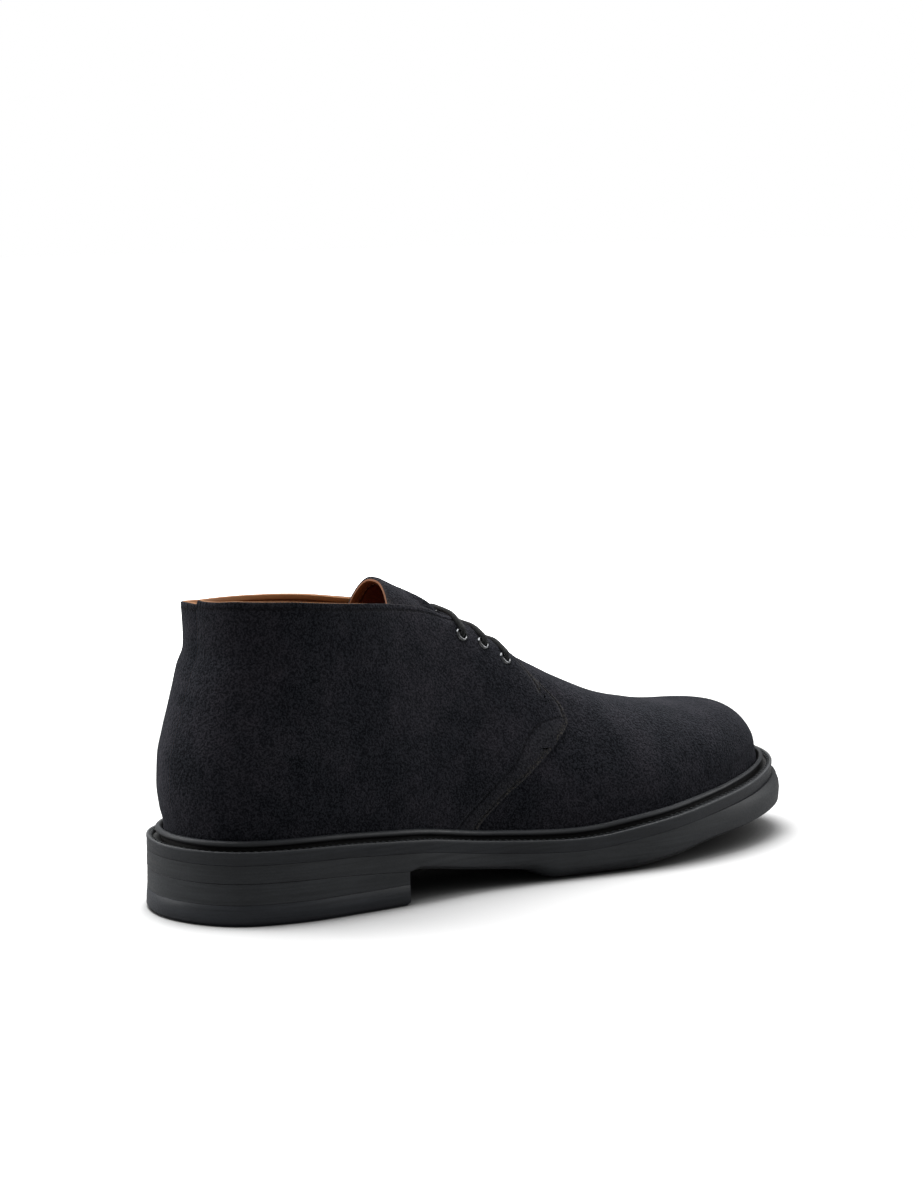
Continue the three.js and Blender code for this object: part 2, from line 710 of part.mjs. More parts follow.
function eyeletGeometry(frame) {
  const under = -(WALL + GAP);
  const flangeTopAt = GAP + EYELET_FLANGE_THICK;
  const section = [
    [EYELET_BORE, under],
    [EYELET_BARREL, under],
    [EYELET_BARREL, GAP],
    [EYELET_FLANGE, GAP],
    [EYELET_FLANGE - EYELET_ROUNDING, flangeTopAt],
    [EYELET_BORE + EYELET_ROUNDING, flangeTopAt],
    [EYELET_BORE, GAP],
    [EYELET_BORE, under],
  ].map(([radius, height]) => new THREE.Vector2(radius, height));
  return weldedSolid(alongNormal(new THREE.LatheGeometry(section, BORE_SIDES), frame));
}

// One bar of lace: up out of an eyelet, over both facings and down into the other eyelet.
function laceBar(left, right) {
  const climb = (frame, step) => frame.centre.clone()
    .addScaledVector(frame.normal, step.height)
    .addScaledVector(
      new THREE.Vector3(1, 0, 0).cross(frame.normal).normalize(), frame.side * step.inward);
  const rest = (frame, reach, lift) => topPoint(frame.centre.x, reach, frame.side)
    .addScaledVector(topNormal(frame.centre.x, reach, frame.side), lift);
  const half = (frame) => [
    ...LACE_CLIMB.map((step) => climb(frame, step)),
    ...LACE_REST.map((step) => rest(frame, step.reach, step.lift)),
  ];
  const crown = rest(left, CREST_REACH, LACE_CROWN_LIFT);
  crown.y = drift(crown.x);
  const path = new THREE.CatmullRomCurve3(
    [...half(left), crown, ...half(right).reverse()], false, "centripetal");
  const circle = new THREE.Shape();
  circle.absarc(0, 0, LACE_RADIUS, 0, Math.PI * 2);
  return weldedSolid(new THREE.ExtrudeGeometry(circle, {
    steps: LACE_STEPS, curveSegments: LACE_CURVE_SEGMENTS, bevelEnabled: false, extrudePath: path,
  }));
}

// Materials, one for each kind of stuff in the boot.
const suede = new THREE.MeshStandardMaterial({ color: 0x23232b, roughness: 0.95, metalness: 0 });
const rubber = new THREE.MeshStandardMaterial({ color: 0x23292c, roughness: 0.55, metalness: 0 });
const leather = new THREE.MeshStandardMaterial({ color: 0x8a4a26, roughness: 0.6, metalness: 0 });
const gunmetal = new THREE.MeshStandardMaterial({
  color: 0x3d4147, roughness: 0.35, metalness: 1,
});
const cord = new THREE.MeshStandardMaterial({ color: 0x17171b, roughness: 0.9, metalness: 0 });

const boot = new THREE.Group();
boot.name = "chukka_boot";

function place(name, geometry, material) {
  geometry.deleteAttribute("normal");
  geometry.deleteAttribute("uv");
  geometry.computeVertexNormals();
  const mesh = new THREE.Mesh(geometry, material);
  mesh.name = name;
  boot.add(mesh);
}

// Upper: quarters and vamp as one hollow shell, with the eyelet holes cut through.
const frames = eyeletFrames();
let upper = upperShell();
for (const frame of frames) {
  const bore = new THREE.CylinderGeometry(
    EYELET_BARREL + GAP, EYELET_BARREL + GAP, WALL * 4, BORE_SIDES);
  upper = upper.subtract(toManifold(weldedSolid(alongNormal(bore, frame))));
}
place("upper", fromManifold(upper), suede);

// Insole: the board and sock that the foot stands on, inside the wall.
const insoleEdge = (x) => weltWidth(x) + WALL + GAP;
place("insole", stackedSlab([
  { inset: insoleEdge, height: (x) => footHeight(x) },
  { inset: insoleEdge, height: (x) => footHeight(x) + INSOLE_THICK - INSOLE_SPRING },
  { inset: (x) => insoleEdge(x) + INSOLE_SPRING, height: (x) => footHeight(x) + INSOLE_THICK },
], columns), leather);

place("tongue", tongueSolid(), suede);

// Storm welt: a stitched flange with a raised bead against the suede.
const beadInner = (x) => weltWidth(x) - GAP;
const beadOuter = (x) => weltWidth(x) - BEAD_WIDTH;
const BEAD_ROUNDING = 0.9; // the bead's outer shoulder
place("welt", hoop([
  { inset: () => FINE_BREAK, height: footHeight },
  { inset: () => 0, height: (x) => footHeight(x) + FINE_BREAK },
  { inset: () => 0, height: (x) => flangeTop(x) - EDGE_BREAK },
  { inset: () => EDGE_BREAK, height: flangeTop },
  { inset: (x) => beadOuter(x) - FINE_BREAK, height: flangeTop },
  { inset: beadOuter, height: (x) => flangeTop(x) - EDGE_BREAK },
  { inset: beadOuter, height: (x) => beadTop(x) - BEAD_ROUNDING },
  { inset: (x) => beadOuter(x) + BEAD_ROUNDING, height: beadTop },
  { inset: (x) => beadInner(x) - FINE_BREAK, height: beadTop },
  { inset: beadInner, height: (x) => beadTop(x) - FINE_BREAK },
  { inset: beadInner, height: (x) => footHeight(x) },
], columns), rubber);

// Outsole: one piece from heel to toe, thin at the waist and deep under the tread.
const soleTop = (x) => footHeight(x) - GAP;
let outsole = toManifold(stackedSlab([
  { inset: (x) => SOLE_BEVEL_WIDTH - toeFlare(x) * 0.4, height: underside },
  { inset: (x) => -toeFlare(x), height: (x) => underside(x) + SOLE_BEVEL },
  {
    inset: (x) => -toeFlare(x),
    height: (x) => THREE.MathUtils.lerp(underside(x), soleTop(x), 0.6),
  },
  { inset: (x) => -toeFlare(x) * 0.5, height: (x) => soleTop(x) - EDGE_BREAK },
  { inset: () => EDGE_BREAK, height: soleTop },
], columns));

// The sunk field of the tread, cut up into the outsole inside its rim, and its studs.
const treadColumns = [];
for (const side of [-1, 1]) {
  const half = [];
  for (const x of [TREAD_START, ...SIDE_STATIONS.filter((station) => station > TREAD_START + 3)]) {
    half.push(makeColumn(x, 0, side, 0));
  }
  for (let k = 1; k < TOE_FAN_STEPS; k += 1) {
    const angle = (k / TOE_FAN_STEPS) * Math.PI * 0.5;
    half.push(makeColumn(TOE_AXIS, Math.sin(angle), side * Math.cos(angle), 0));
  }
  if (side < 0) treadColumns.push(...half, makeColumn(TOE_AXIS, 1, 0, 0));
  else treadColumns.push(...half.reverse());
}
const field = (depthFrom, depthTo) => toManifold(stackedSlab([
  { inset: () => TREAD_RIM, height: (x) => underside(x) + depthFrom },
  { inset: () => TREAD_RIM, height: (x) => underside(x) + depthTo },
], treadColumns));
outsole = outsole.subtract(field(-TREAD_CUT, TREAD_DEPTH));
for (const row of FOREFOOT_STUDS) {
  for (const y of row.y) {
    const stud = toManifold(
      uprightBar(row.x, y, STUD_RADIUS, -1, underside(row.x) + TREAD_CUT));
    outsole = outsole.add(stud.intersect(field(0, TREAD_CUT)));
  }
}
place("outsole", fromManifold(outsole), rubber);

// Heel: a lift wedged under the outsole, and a top piece that meets the floor.
const heelStations = [38, 50, 62, 74, HEEL_LENGTH];
const heelSide = (side) => {
  const list = [];
  for (let k = 1; k < HEEL_FAN_STEPS; k += 1) {
    const angle = (k / HEEL_FAN_STEPS) * Math.PI * 0.5;
    list.push(makeColumn(HEEL_AXIS, -Math.cos(angle), side * Math.sin(angle), 0));
  }
  for (const x of heelStations) list.push(makeColumn(x, 0, side, 0));
  return list;
};
const heelColumns = [
  makeColumn(HEEL_AXIS, -1, 0, 0), ...heelSide(-1), ...heelSide(1).reverse(),
];
place("heel_lift", stackedSlab([
  { inset: () => FINE_BREAK, height: () => LIFT_TOP_PIECE_SEAM + GAP },
  { inset: () => 0, height: () => LIFT_TOP_PIECE_SEAM + GAP + FINE_BREAK },
  { inset: () => FINE_BREAK, height: (x) => underside(x) - GAP - FINE_BREAK },
  { inset: () => EDGE_BREAK, height: (x) => underside(x) - GAP },
], heelColumns), rubber);

let topPiece = toManifold(stackedSlab([
  { inset: () => TOP_PIECE_BEVEL - TOP_PIECE_FLARE, height: () => 0 },
  { inset: () => -TOP_PIECE_FLARE, height: () => TOP_PIECE_BEVEL },
  { inset: () => 0, height: () => LIFT_TOP_PIECE_SEAM - FINE_BREAK },
  { inset: () => FINE_BREAK, height: () => LIFT_TOP_PIECE_SEAM },
], heelColumns));
const heelField = (top) => toManifold(stackedSlab([
  { inset: () => TREAD_RIM, height: () => -1 },
  { inset: () => TREAD_RIM, height: () => top },
], heelColumns.filter((column) => column.foot.x < HEEL_LENGTH - TREAD_RIM)));
topPiece = topPiece.subtract(heelField(TREAD_DEPTH));
for (const row of HEEL_STUDS) {
  for (const y of row.y) {
    topPiece = topPiece.add(toManifold(uprightBar(row.x, y, STUD_RADIUS, 0, TREAD_DEPTH + 1)));
  }
}
place("heel_top_piece", fromManifold(topPiece), rubber);

for (const frame of frames) place(frame.name, eyeletGeometry(frame), gunmetal);

// Three bars of lace across the throat, one for each pair of eyelets.
EYELETS.forEach((_, pair) => {
  const ends = frames.filter((frame) => frame.pair === pair);
  place(`lace_bar_${pair + 1}`, laceBar(ends[0], ends[1]), cord);
});

// The part's frame: on the floor, centred over the middle of its box.
const box = new THREE.Box3().setFromObject(boot);
boot.position.set(-(box.min.x + box.max.x) / 2, -(box.min.y + box.max.y) / 2, -box.min.z);

export default boot;
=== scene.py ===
"""A chukka boot for the right foot, in near-black suede with a brown leather lining.

The sections follow the boot piece by piece: the last, the suede, the lining, the vamp and the
quarters, the tongue, the insole, the welt, the outsole, the heel, the eyelets, the lace and
the stitches, and at the end the studio.
Points on the boot are worked out in shoe millimetres: X from the back of the welt to the toe,
Y from the centre line to the inner side of the foot, Z up from the floor.
"""
import math

import bmesh
import bpy
import numpy as np
from mathutils import Matrix, Vector


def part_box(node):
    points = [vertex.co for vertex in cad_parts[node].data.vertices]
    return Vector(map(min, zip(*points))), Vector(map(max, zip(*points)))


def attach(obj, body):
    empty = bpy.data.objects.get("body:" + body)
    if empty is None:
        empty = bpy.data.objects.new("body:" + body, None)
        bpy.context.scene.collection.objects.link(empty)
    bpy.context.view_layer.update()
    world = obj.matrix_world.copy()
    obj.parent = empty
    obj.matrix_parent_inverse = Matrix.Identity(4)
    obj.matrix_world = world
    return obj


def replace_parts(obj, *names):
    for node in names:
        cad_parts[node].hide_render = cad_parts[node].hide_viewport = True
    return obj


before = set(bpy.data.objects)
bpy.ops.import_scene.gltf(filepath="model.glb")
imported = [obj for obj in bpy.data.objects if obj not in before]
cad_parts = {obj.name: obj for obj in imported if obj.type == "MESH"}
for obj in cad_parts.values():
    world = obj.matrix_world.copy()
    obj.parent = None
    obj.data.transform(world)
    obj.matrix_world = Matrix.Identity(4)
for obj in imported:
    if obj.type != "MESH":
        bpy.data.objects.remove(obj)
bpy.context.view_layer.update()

# ---------------------------------------------------------------------------- the last
# The foot-shaped form that the upper is pulled over. It isn't part of the boot, but every
# soft piece and the sole's outline take their shape from these few tables: a plan, a crest
# line, and the way the ankle's wall swells and draws in.
MILLIMETRE = 0.001
SHOE_LENGTH = 306.0
BALL_WIDTH = 104.5
HEEL_HEIGHT = 28.6
INSTEP_HEIGHT = 111.0
COLLAR_HEIGHT = 119.5
HEEL_LENGTH = 86.0
WELT_THICK = 5.0
WALL = 2.2

PLAN = {  # the welt's outline: fractions of the length and of the ball width
    "at": (0, .016, .052, .124, .203, .281, .392, .49, .588, .67, .735, .817, .889, .948, .984, 1),
    "lateral": (0, .182, .3, .376, .394, .398, .379, .413, .465, .497, .49, .442, .358, .243,
                .112, -.038),
    "medial": (0, .178, .295, .367, .371, .346, .304, .335, .419, .484, .501, .477, .404, .302,
               .192, .038),
}
FLANGE = {  # height of the welt's top, in heel heights
    "at": (0, .13, .294, .425, .556, .67, .784, .882, .948, 1.02),
    "height": (1, .986, .874, .668, .563, .68, .825, .927, 1.015, 1.1),
}
UNDERSIDE = {  # height of the outsole's underside in millimetres
    "at": (0, .13, .294, .392, .474, .523, .628, .69, .784, .882, .945, 1.02),
    "height": (16.5, 16.2, 12.9, 8.4, 5.2, 0, 0, 1.7, 6.2, 9.3, 11.2, 15),
}
CREST = {  # the top of the last in instep heights, its drift inwards, its squareness
    "at": (0, .124, .17, .219, .261, .31, .337, .366, .392, .42, .441, .461, .49, .516, .542,
           .582, .611, .673, .712, .758, .801, .843, .876),
    "crest": (1.604, 1.604, 1.586, 1.369, 1.248, 1.156, 1.122, 1.083, 1.043, 1, .966, .933,
              .879, .831, .778, .714, .675, .605, .571, .539, .515, .503, .499),
    "drift": (0, 0, .1, .2, .4, .7, .9, 1, 1, 1, 1.1, 1.2, 1.3, 1.5, 1.7, 2.1, 2.4, 2.9, 3.1,
              3.4, 3.6, 3.8, 3.8),
    "fullness": (4, 4, 3.8, 3.4, 3, 2.4, 2.3, 2.25, 2.2, 2.2, 2.2, 2.2, 2.2, 2.22, 2.25, 2.3,
                 2.35, 2.45, 2.55, 2.7, 2.9, 3.05, 3.05),
}
WALL_HEIGHTS = (0, 8.6, 16, 25, 35, 45, 54, 62, 70, 77, 95)
WALL_SHAPE = {  # swell (+) or draw (-) of the wall at those heights, by turn round the boot
    -1.0: (0, 0, 1.8, 2.9, 2.8, 0.7, -1.6, -3.6, -6.4, -8.4, -6.7),
    -0.5: (0, 0, 1.5, 2.5, 2.3, 0.8, -1.0, -2.4, -3.6, -5.6, -3.7),
    0.0: (0, 0, 1.3, 2.0, 1.7, 0.6, -0.8, -1.4, -1.6, -1.6, 0.2),
    0.2: (0, 0, 1.1, 1.9, 1.8, 1.0, 0, -0.6, -0.8, -0.6, 0.6),
    0.4: (0, 0, 1.0, 1.6, 1.4, 0.8, 0.2, -0.2, -0.4, -0.4, 0),
    0.6: (0, 0, 1.4, 2.0, 1.4, 0.6, 0, 0, 0, 0, 0),
    1.0: (0, 0, 1.3, 1.6, 0.8, 0, 0, 0, 0, 0, 0),
    1.5: (0, 0, 0.9, 1.0, 0.4, 0, 0, 0, 0, 0, 0),
}
OVERHANG = {  # how far the body of the foot stands out over the waist of the sole
    "at": (.12, .28, .39, .49, .59, .68, .84),
    "lateral": (0, .3, .8, .6, 0, 0, 0),
    "medial": (0, 2.2, 7.2, 6.4, 3, .6, 0),
}
COLLAR = {  # the top line in collar heights
    "at": (0, .039, .072, .121, .17, .221, .258, .31, .342, .365, .405, .428, .49),
    "lateral": (.998, .999, 1.013, 1.01, .998, .983, .972, .954, .94, .928, .895, .879, .845),
    "medial": (.998, .998, .98, .967, .966, .965, .961, .946, .934, .924, .894, .878, .845),
}
HEEL_AXIS, TOE_AXIS = 38.0, 258.0
SIDE_RUN = TOE_AXIS - HEEL_AXIS
HEEL_RUN, TOE_RUN = 60.0, 75.0  # millimetres of skin round the heel's and the toe's quarter turn
THROAT_HALF_WIDTH, THROAT_ROUND, THROAT_BASE = 10.5, 6.0, 166.0
LATERAL, MEDIAL = -1, 1


def along(station, at, values):
    """A smooth curve through a table's rows that never overshoots them."""
    at = np.asarray(at, float)
    values = np.asarray(values, float)
    station = np.asarray(station, float)
    spans = np.diff(at).reshape((-1,) + (1,) * (values.ndim - 1))
    secants = np.diff(values, axis=0) / spans
    before, after = secants[:-1], secants[1:]
    total = np.where(before * after > 0, before + after, 1.0)
    middle = np.where(before * after > 0, 2 * before * after / total, 0.0)
    slopes = np.concatenate([secants[:1], middle, secants[-1:]])
    row = np.clip(np.searchsorted(at, station) - 1, 0, len(at) - 2)
    t = np.clip((station - at[row]) / (at[row + 1] - at[row]), 0, 1)
    span = at[row + 1] - at[row]
    if values.ndim == 1:
        pick = lambda table, k: table[k]
    else:
        pick = lambda table, k: np.take_along_axis(table, k[None], 0)[0]
    rise = t * t * (3 - 2 * t)
    ends = (1 - t) * pick(slopes, row) - t * pick(slopes, row + 1)
    start, end = pick(values, row), pick(values, row + 1)
    return start + (end - start) * rise + span * t * (1 - t) * ends


def read(table, name, x):
    return along(np.asarray(x, float) / SHOE_LENGTH, table["at"], table[name])


def smooth_step(value, low, high):
    t = np.clip((np.asarray(value, float) - low) / (high - low), 0, 1)
    return t * t * (3 - 2 * t)


def blend(low, high, part):
    return low + (high - low) * part


def flange_top(x):
    return HEEL_HEIGHT * read(FLANGE, "height", x)


def foot_height(x):
    return flange_top(x) - WELT_THICK


def drift(x):
    return read(CREST, "drift", x)


def welt_width(x):
    side = blend(6.4, 7.8, smooth_step(x, 0, HEEL_LENGTH))
    return blend(side, 5.9, smooth_step(x, TOE_AXIS, SHOE_LENGTH))


def closed_curve(points, steps):
    """A closed curve through a few points, without overshoot, and then evenly spaced."""
    count = len(points)
    found = []
    for i in range(count):
        p0, p1, p2, p3 = (points[(i + k) % count] for k in (-1, 0, 1, 2))
        d0, d1, d2 = (math.sqrt(np.linalg.norm(b - a)) for a, b in ((p0, p1), (p1, p2), (p2, p3)))
        start = (p1 - p0) / d0 - (p2 - p0) / (d0 + d1) + (p2 - p1) / d1
        end = (p2 - p1) / d1 - (p3 - p1) / (d1 + d2) + (p3 - p2) / d2
        start, end = start * d1, end * d1
        for t in np.arange(40) / 40:
            found.append(p1 + start * t + (3 * (p2 - p1) - 2 * start - end) * t ** 2
                         + (2 * (p1 - p2) + start + end) * t ** 3)
    found = np.array(found + found[:1])
    run = np.concatenate([[0], np.cumsum(np.linalg.norm(np.diff(found, axis=0), axis=1))])
    places = np.linspace(0, run[-1], steps, endpoint=False)
    return np.stack([np.interp(places, run, found[:, k]) for k in (0, 1)], -1)


def plan_points():
    at = np.array(PLAN["at"]) * SHOE_LENGTH
    outer = np.stack([at, -np.array(PLAN["lateral"]) * BALL_WIDTH], -1)
    inner = np.stack([at, np.array(PLAN["medial"]) * BALL_WIDTH], -1)[1:-1][::-1]
    return np.concatenate([outer, inner])


PLAN_STEPS = 480
welt_plan = closed_curve(plan_points(), PLAN_STEPS)
welt_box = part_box("welt")
SHIFT = np.array([
    welt_box[0].x / MILLIMETRE - welt_plan[:, 0].min(),
    ((welt_box[0].y + welt_box[1].y) / MILLIMETRE
     - welt_plan[:, 1].min() - welt_plan[:, 1].max()) / 2,
    0.0])


def in_frame(points):
    """Shoe millimetres to the boot's own frame, in metres."""
    return (np.asarray(points, float) + SHIFT) * MILLIMETRE


def inset(plan, distance):
    """The plan moved inwards by a distance that may change along the boot."""
    ahead = np.roll(plan, -1, 0) - np.roll(plan, 1, 0)
    ahead /= np.linalg.norm(ahead, axis=1)[:, None]
    moved = np.stack([-ahead[:, 1], ahead[:, 0]], -1)
    return plan + moved * np.broadcast_to(distance, len(plan))[:, None]


def columns_at(way, side):
    """Foot, outward direction and turn of the upright section at a way round the boot."""
    way = np.asarray(way, float)
    heel = np.clip(-way / HEEL_RUN, 0, 1)
    toe = np.clip((way - SIDE_RUN) / TOE_RUN, 0, 1)
    foot_x = HEEL_AXIS + np.clip(way, 0, SIDE_RUN)
    out_x = np.sin(toe * math.pi / 2) - np.sin(heel * math.pi / 2)
    out_y = side * np.cos(toe * math.pi / 2) * np.cos(heel * math.pi / 2)
    turn = np.clip(way, 0, SIDE_RUN) / SIDE_RUN - heel + toe / 2
    return np.stack([foot_x, drift(foot_x)], -1), np.stack([out_x, out_y], -1), turn


def reach_to(plan, foot, out):
    """Distance from each foot, along its direction, to a closed plan."""
    edge = np.roll(plan, -1, 0) - plan
    start = plan[None] - foot[:, None]
    cross = out[:, 0, None] * edge[None, :, 1] - out[:, 1, None] * edge[None, :, 0]
    cross = np.where(np.abs(cross) < 1e-9, 1e-9, cross)
    reach = (start[..., 0] * edge[None, :, 1] - start[..., 1] * edge[None, :, 0]) / cross
    part = (start[..., 0] * out[:, 1, None] - start[..., 1] * out[:, 0, None]) / cross
    return np.where((part >= -1e-6) & (part <= 1 + 1e-6), reach, 0).max(1)


def is_open(points):
    """Whether a point of the last lies in the opening for the foot or in the throat."""
    x, y, z = points[..., 0], points[..., 1], points[..., 2]
    line = np.where(y < drift(x), read(COLLAR, "lateral", x), read(COLLAR, "medial", x))
    beyond = np.clip((x - THROAT_BASE + THROAT_ROUND) / THROAT_ROUND, 0, 1)
    half = THROAT_HALF_WIDTH * np.sqrt(1 - beyond ** 2)
    in_throat = (x > HEEL_LENGTH) & (np.abs(y - drift(x)) < half)
    return (x < THROAT_BASE) & ((z > COLLAR_HEIGHT * line) | in_throat)


class Skin:
    """One side of the last: points by way round the boot and by height up the skin."""

    def __init__(self, side):
        self.way = np.concatenate([
            np.arange(-HEEL_RUN, 84, 1.0), np.arange(84, 132, 0.5),
            np.arange(132, SIDE_RUN + TOE_RUN + 0.1, 1.0)])
        foot, out, turn = columns_at(self.way, side)
        reach = reach_to(inset(welt_plan, welt_width(welt_plan[:, 0])), foot, out)
        rim_z = foot_height(foot[:, 0] + out[:, 0] * reach) + 0.15
        rise = INSTEP_HEIGHT * read(CREST, "crest", foot[:, 0]) - rim_z
        angle = np.linspace(0, math.pi / 2, 241)
        height = rise[:, None] * np.sin(angle)
        fullness = read(CREST, "fullness", foot[:, 0])[:, None]
        shoulder = np.maximum(np.cos(angle), 0)[None] ** (2 / fullness)
        shoulder[:, -1] = 0
        rows = np.array([along(height, WALL_HEIGHTS, row) for row in WALL_SHAPE.values()])
        turns = np.broadcast_to(turn[:, None], height.shape)
        swell = along(turns, list(WALL_SHAPE), rows)
        over = read(OVERHANG, "lateral" if side < 0 else "medial", foot[:, 0])[:, None]
        tucked = 1 - smooth_step(height, 8.6, 36)
        reach_out = ((reach[:, None] + over) * shoulder - over * tucked
                     + smooth_step(shoulder, 0, 0.6) * swell)
        profile = np.stack([
            foot[:, 0, None] + out[:, 0, None] * reach_out,
            foot[:, 1, None] + out[:, 1, None] * reach_out,
            rim_z[:, None] + height], -1)
        self.spaces = 220
        self.point = np.empty((len(self.way), self.spaces + 1, 3))
        self.length = np.empty(len(self.way))
        self.top = np.empty(len(self.way))
        for i, line in enumerate(profile):
            steps = np.linalg.norm(np.diff(line, axis=0), axis=1)
            run = np.concatenate([[0], np.cumsum(steps)])
            self.length[i] = run[-1]
            even = np.linspace(0, run[-1], self.spaces + 1)
            self.point[i] = np.stack([np.interp(even, run, line[:, k]) for k in range(3)], -1)
            self.top[i] = self.height_of_opening(line, run)
        by_way = np.gradient(self.point, self.way, axis=0)
        by_height = np.gradient(self.point, axis=1)
        normal = np.cross(by_way, by_height) * -side
        normal[[0, -1], :, 1] = 0
        length = np.linalg.norm(normal, axis=-1, keepdims=True)
        self.normal = normal / np.maximum(length, 1e-9)
        self.side = side

    @staticmethod
    def height_of_opening(line, run):
        opened = is_open(line)
        if not opened.any():
            return run[-1]
        first = int(np.argmax(opened))
        low, high = 0.0, 1.0
        for _ in range(20):
            middle = (low + high) / 2
            probe = line[first - 1] + (line[first] - line[first - 1]) * middle
            if is_open(probe):
                high = middle
            else:
                low = middle
        return run[first - 1] + (run[first] - run[first - 1]) * high

    def full(self, way):
        return np.interp(way, self.way, self.length)

    def edge(self, way):
        return np.interp(way, self.way, self.top)

    def at(self, way, up):
        """Points and outward normals at ways round the boot and heights up the skin."""
        way, up = np.broadcast_arrays(np.asarray(way, float), np.asarray(up, float))
        place = np.interp(way, self.way, np.arange(len(self.way)))
        i = np.clip(place.astype(int), 0, len(self.way) - 2)
        a = (place - i)[..., None]
        level = np.clip(up / self.full(way), 0, 1) * self.spaces
        j = np.clip(level.astype(int), 0, self.spaces - 1)
        b = (level - j)[..., None]
        found = []
        for grid in (self.point, self.normal):
            low = grid[i, j] * (1 - a) + grid[i + 1, j] * a
            high = grid[i, j + 1] * (1 - a) + grid[i + 1, j + 1] * a
            found.append(low * (1 - b) + high * b)
        length = np.linalg.norm(found[1], axis=-1, keepdims=True)
        return found[0], found[1] / np.maximum(length, 1e-9)


skins = {side: Skin(side) for side in (LATERAL, MEDIAL)}

CREASES = (  # soft folds, across a line between two points seen from the side
    {"from": (30, 92), "to": (64, 100), "depth": 0.5, "width": 7},
    {"from": (96, 60), "to": (122, 88), "depth": 0.45, "width": 10},
    {"from": (60, 66), "to": (92, 80), "depth": -0.4, "width": 12},
    {"from": (176, 58), "to": (196, 44), "depth": 0.4, "width": 9},
    {"from": (204, 60), "to": (226, 40), "depth": 0.35, "width": 9},
    {"from": (236, 54), "to": (252, 40), "depth": -0.3, "width": 10},
)
FACING_DROOP = 1.3  # the facings are drawn down to the tongue by the laces


def creased(points):
    """How far the skin sinks at each point: the droop of the facings and the creases."""
    x, y, z = points[..., 0], points[..., 1], points[..., 2]
    beside_throat = 1 - smooth_step(np.abs(y - drift(x)), 9, 17)
    laced = smooth_step(x, 112, 124) * (1 - smooth_step(x, 158, 168))
    sink = FACING_DROOP * beside_throat * laced
    for crease in CREASES:
        start, end = np.array(crease["from"], float), np.array(crease["to"], float)
        run = end - start
        part = np.clip(((x - start[0]) * run[0] + (z - start[1]) * run[1]) / (run @ run), 0, 1)
        away = np.hypot(x - start[0] - part * run[0], z - start[1] - part * run[1])
        sink = sink + crease["depth"] * np.exp(-(away / crease["width"]) ** 2)
    return sink


def on_boot(side, way, up, depth=0.0):
    """Points a depth under the skin, creases and all, with their normals."""
    point, normal = skins[side].at(way, up)
    sink = np.asarray(depth, float) + creased(point)
    return point - normal * sink[..., None], normal


# ---------------------------------------------------------------------------- suede
# Napped split leather, dyed a blue-black. The nap is short fibre that lies in patches, so it
# looks lighter or darker by where it was stroked. Its cut edges are painted paler, part raw
# fibre and part highlight, and its stitch grooves are painted darker with shade.
SUEDE_DARK = (0.0026, 0.0030, 0.0050, 1)
SUEDE_BLUE = (0.0255, 0.0282, 0.0350, 1)
SUEDE_VIOLET = (0.0365, 0.0345, 0.0425, 1)
SUEDE_PALE_EDGE_HIGHLIGHT = (0.085, 0.083, 0.085, 1)
SUEDE_FRAY = (0.070, 0.064, 0.054, 1)
SUEDE_WORN = (0.0420, 0.0420, 0.0470, 1)
SUEDE_GROOVE_SHADE = (0.004, 0.004, 0.005, 1)
NAP_SIZE = 1500.0
PATCH_SIZE = 34.0


def new_group(name, inputs, outputs):
    """A shader node group with named sockets, and its input and output nodes."""
    group = bpy.data.node_groups.new(name, "ShaderNodeTree")
    for socket, kind, value in inputs:
        made = group.interface.new_socket(socket, in_out="INPUT", socket_type=kind)
        made.default_value = value
    for socket, kind in outputs:
        group.interface.new_socket(socket, in_out="OUTPUT", socket_type=kind)
    return group, group.nodes.new("NodeGroupInput"), group.nodes.new("NodeGroupOutput")


def add_math(tree, operation, a, b=None, clamp=False):
    node = tree.nodes.new("ShaderNodeMath")
    node.operation = operation
    node.use_clamp = clamp
    for socket, value in zip(node.inputs, (a, b)):
        if value is None:
            continue
        if isinstance(value, (int, float)):
            socket.default_value = value
        else:
            tree.links.new(value, socket)
    return node.outputs[0]


def add_noise(tree, vector, scale, detail=3.0, roughness=0.6):
    node = tree.nodes.new("ShaderNodeTexNoise")
    node.inputs["Scale"].default_value = scale
    node.inputs["Detail"].default_value = detail
    node.inputs["Roughness"].default_value = roughness
    tree.links.new(vector, node.inputs["Vector"])
    return node.outputs["Fac"]


def add_range(tree, value, low, high, to_low=0.0, to_high=1.0, smooth=True):
    node = tree.nodes.new("ShaderNodeMapRange")
    node.interpolation_type = "SMOOTHSTEP" if smooth else "LINEAR"
    for name, number in (("From Min", low), ("From Max", high),
                         ("To Min", to_low), ("To Max", to_high)):
        node.inputs[name].default_value = number
    tree.links.new(value, node.inputs["Value"])
    return node.outputs["Result"]


def add_mix(tree, factor, a, b, mode="MIX"):
    node = tree.nodes.new("ShaderNodeMix")
    node.data_type = "RGBA"
    node.blend_type = mode
    for socket, value in ((node.inputs[0], factor), (node.inputs[6], a), (node.inputs[7], b)):
        if isinstance(value, (int, float, tuple)):
            socket.default_value = value
        else:
            tree.links.new(value, socket)
    return node.outputs[2]


def new_material(name):
    """An empty material with its shader, and the piece's own coordinates."""
    material = bpy.data.materials.new(name)
    material.use_nodes = True
    tree = material.node_tree
    shader = tree.nodes["Principled BSDF"]
    place = tree.nodes.new("ShaderNodeTexCoord")
    return material, tree, shader, place.outputs["Object"]


def add_bump(tree, height, distance, strength=1.0, normal=None):
    node = tree.nodes.new("ShaderNodeBump")
    node.inputs["Strength"].default_value = strength
    node.inputs["Distance"].default_value = distance
    tree.links.new(height, node.inputs["Height"])
    if normal is not None:
        tree.links.new(normal, node.inputs["Normal"])
    return node.outputs["Normal"]


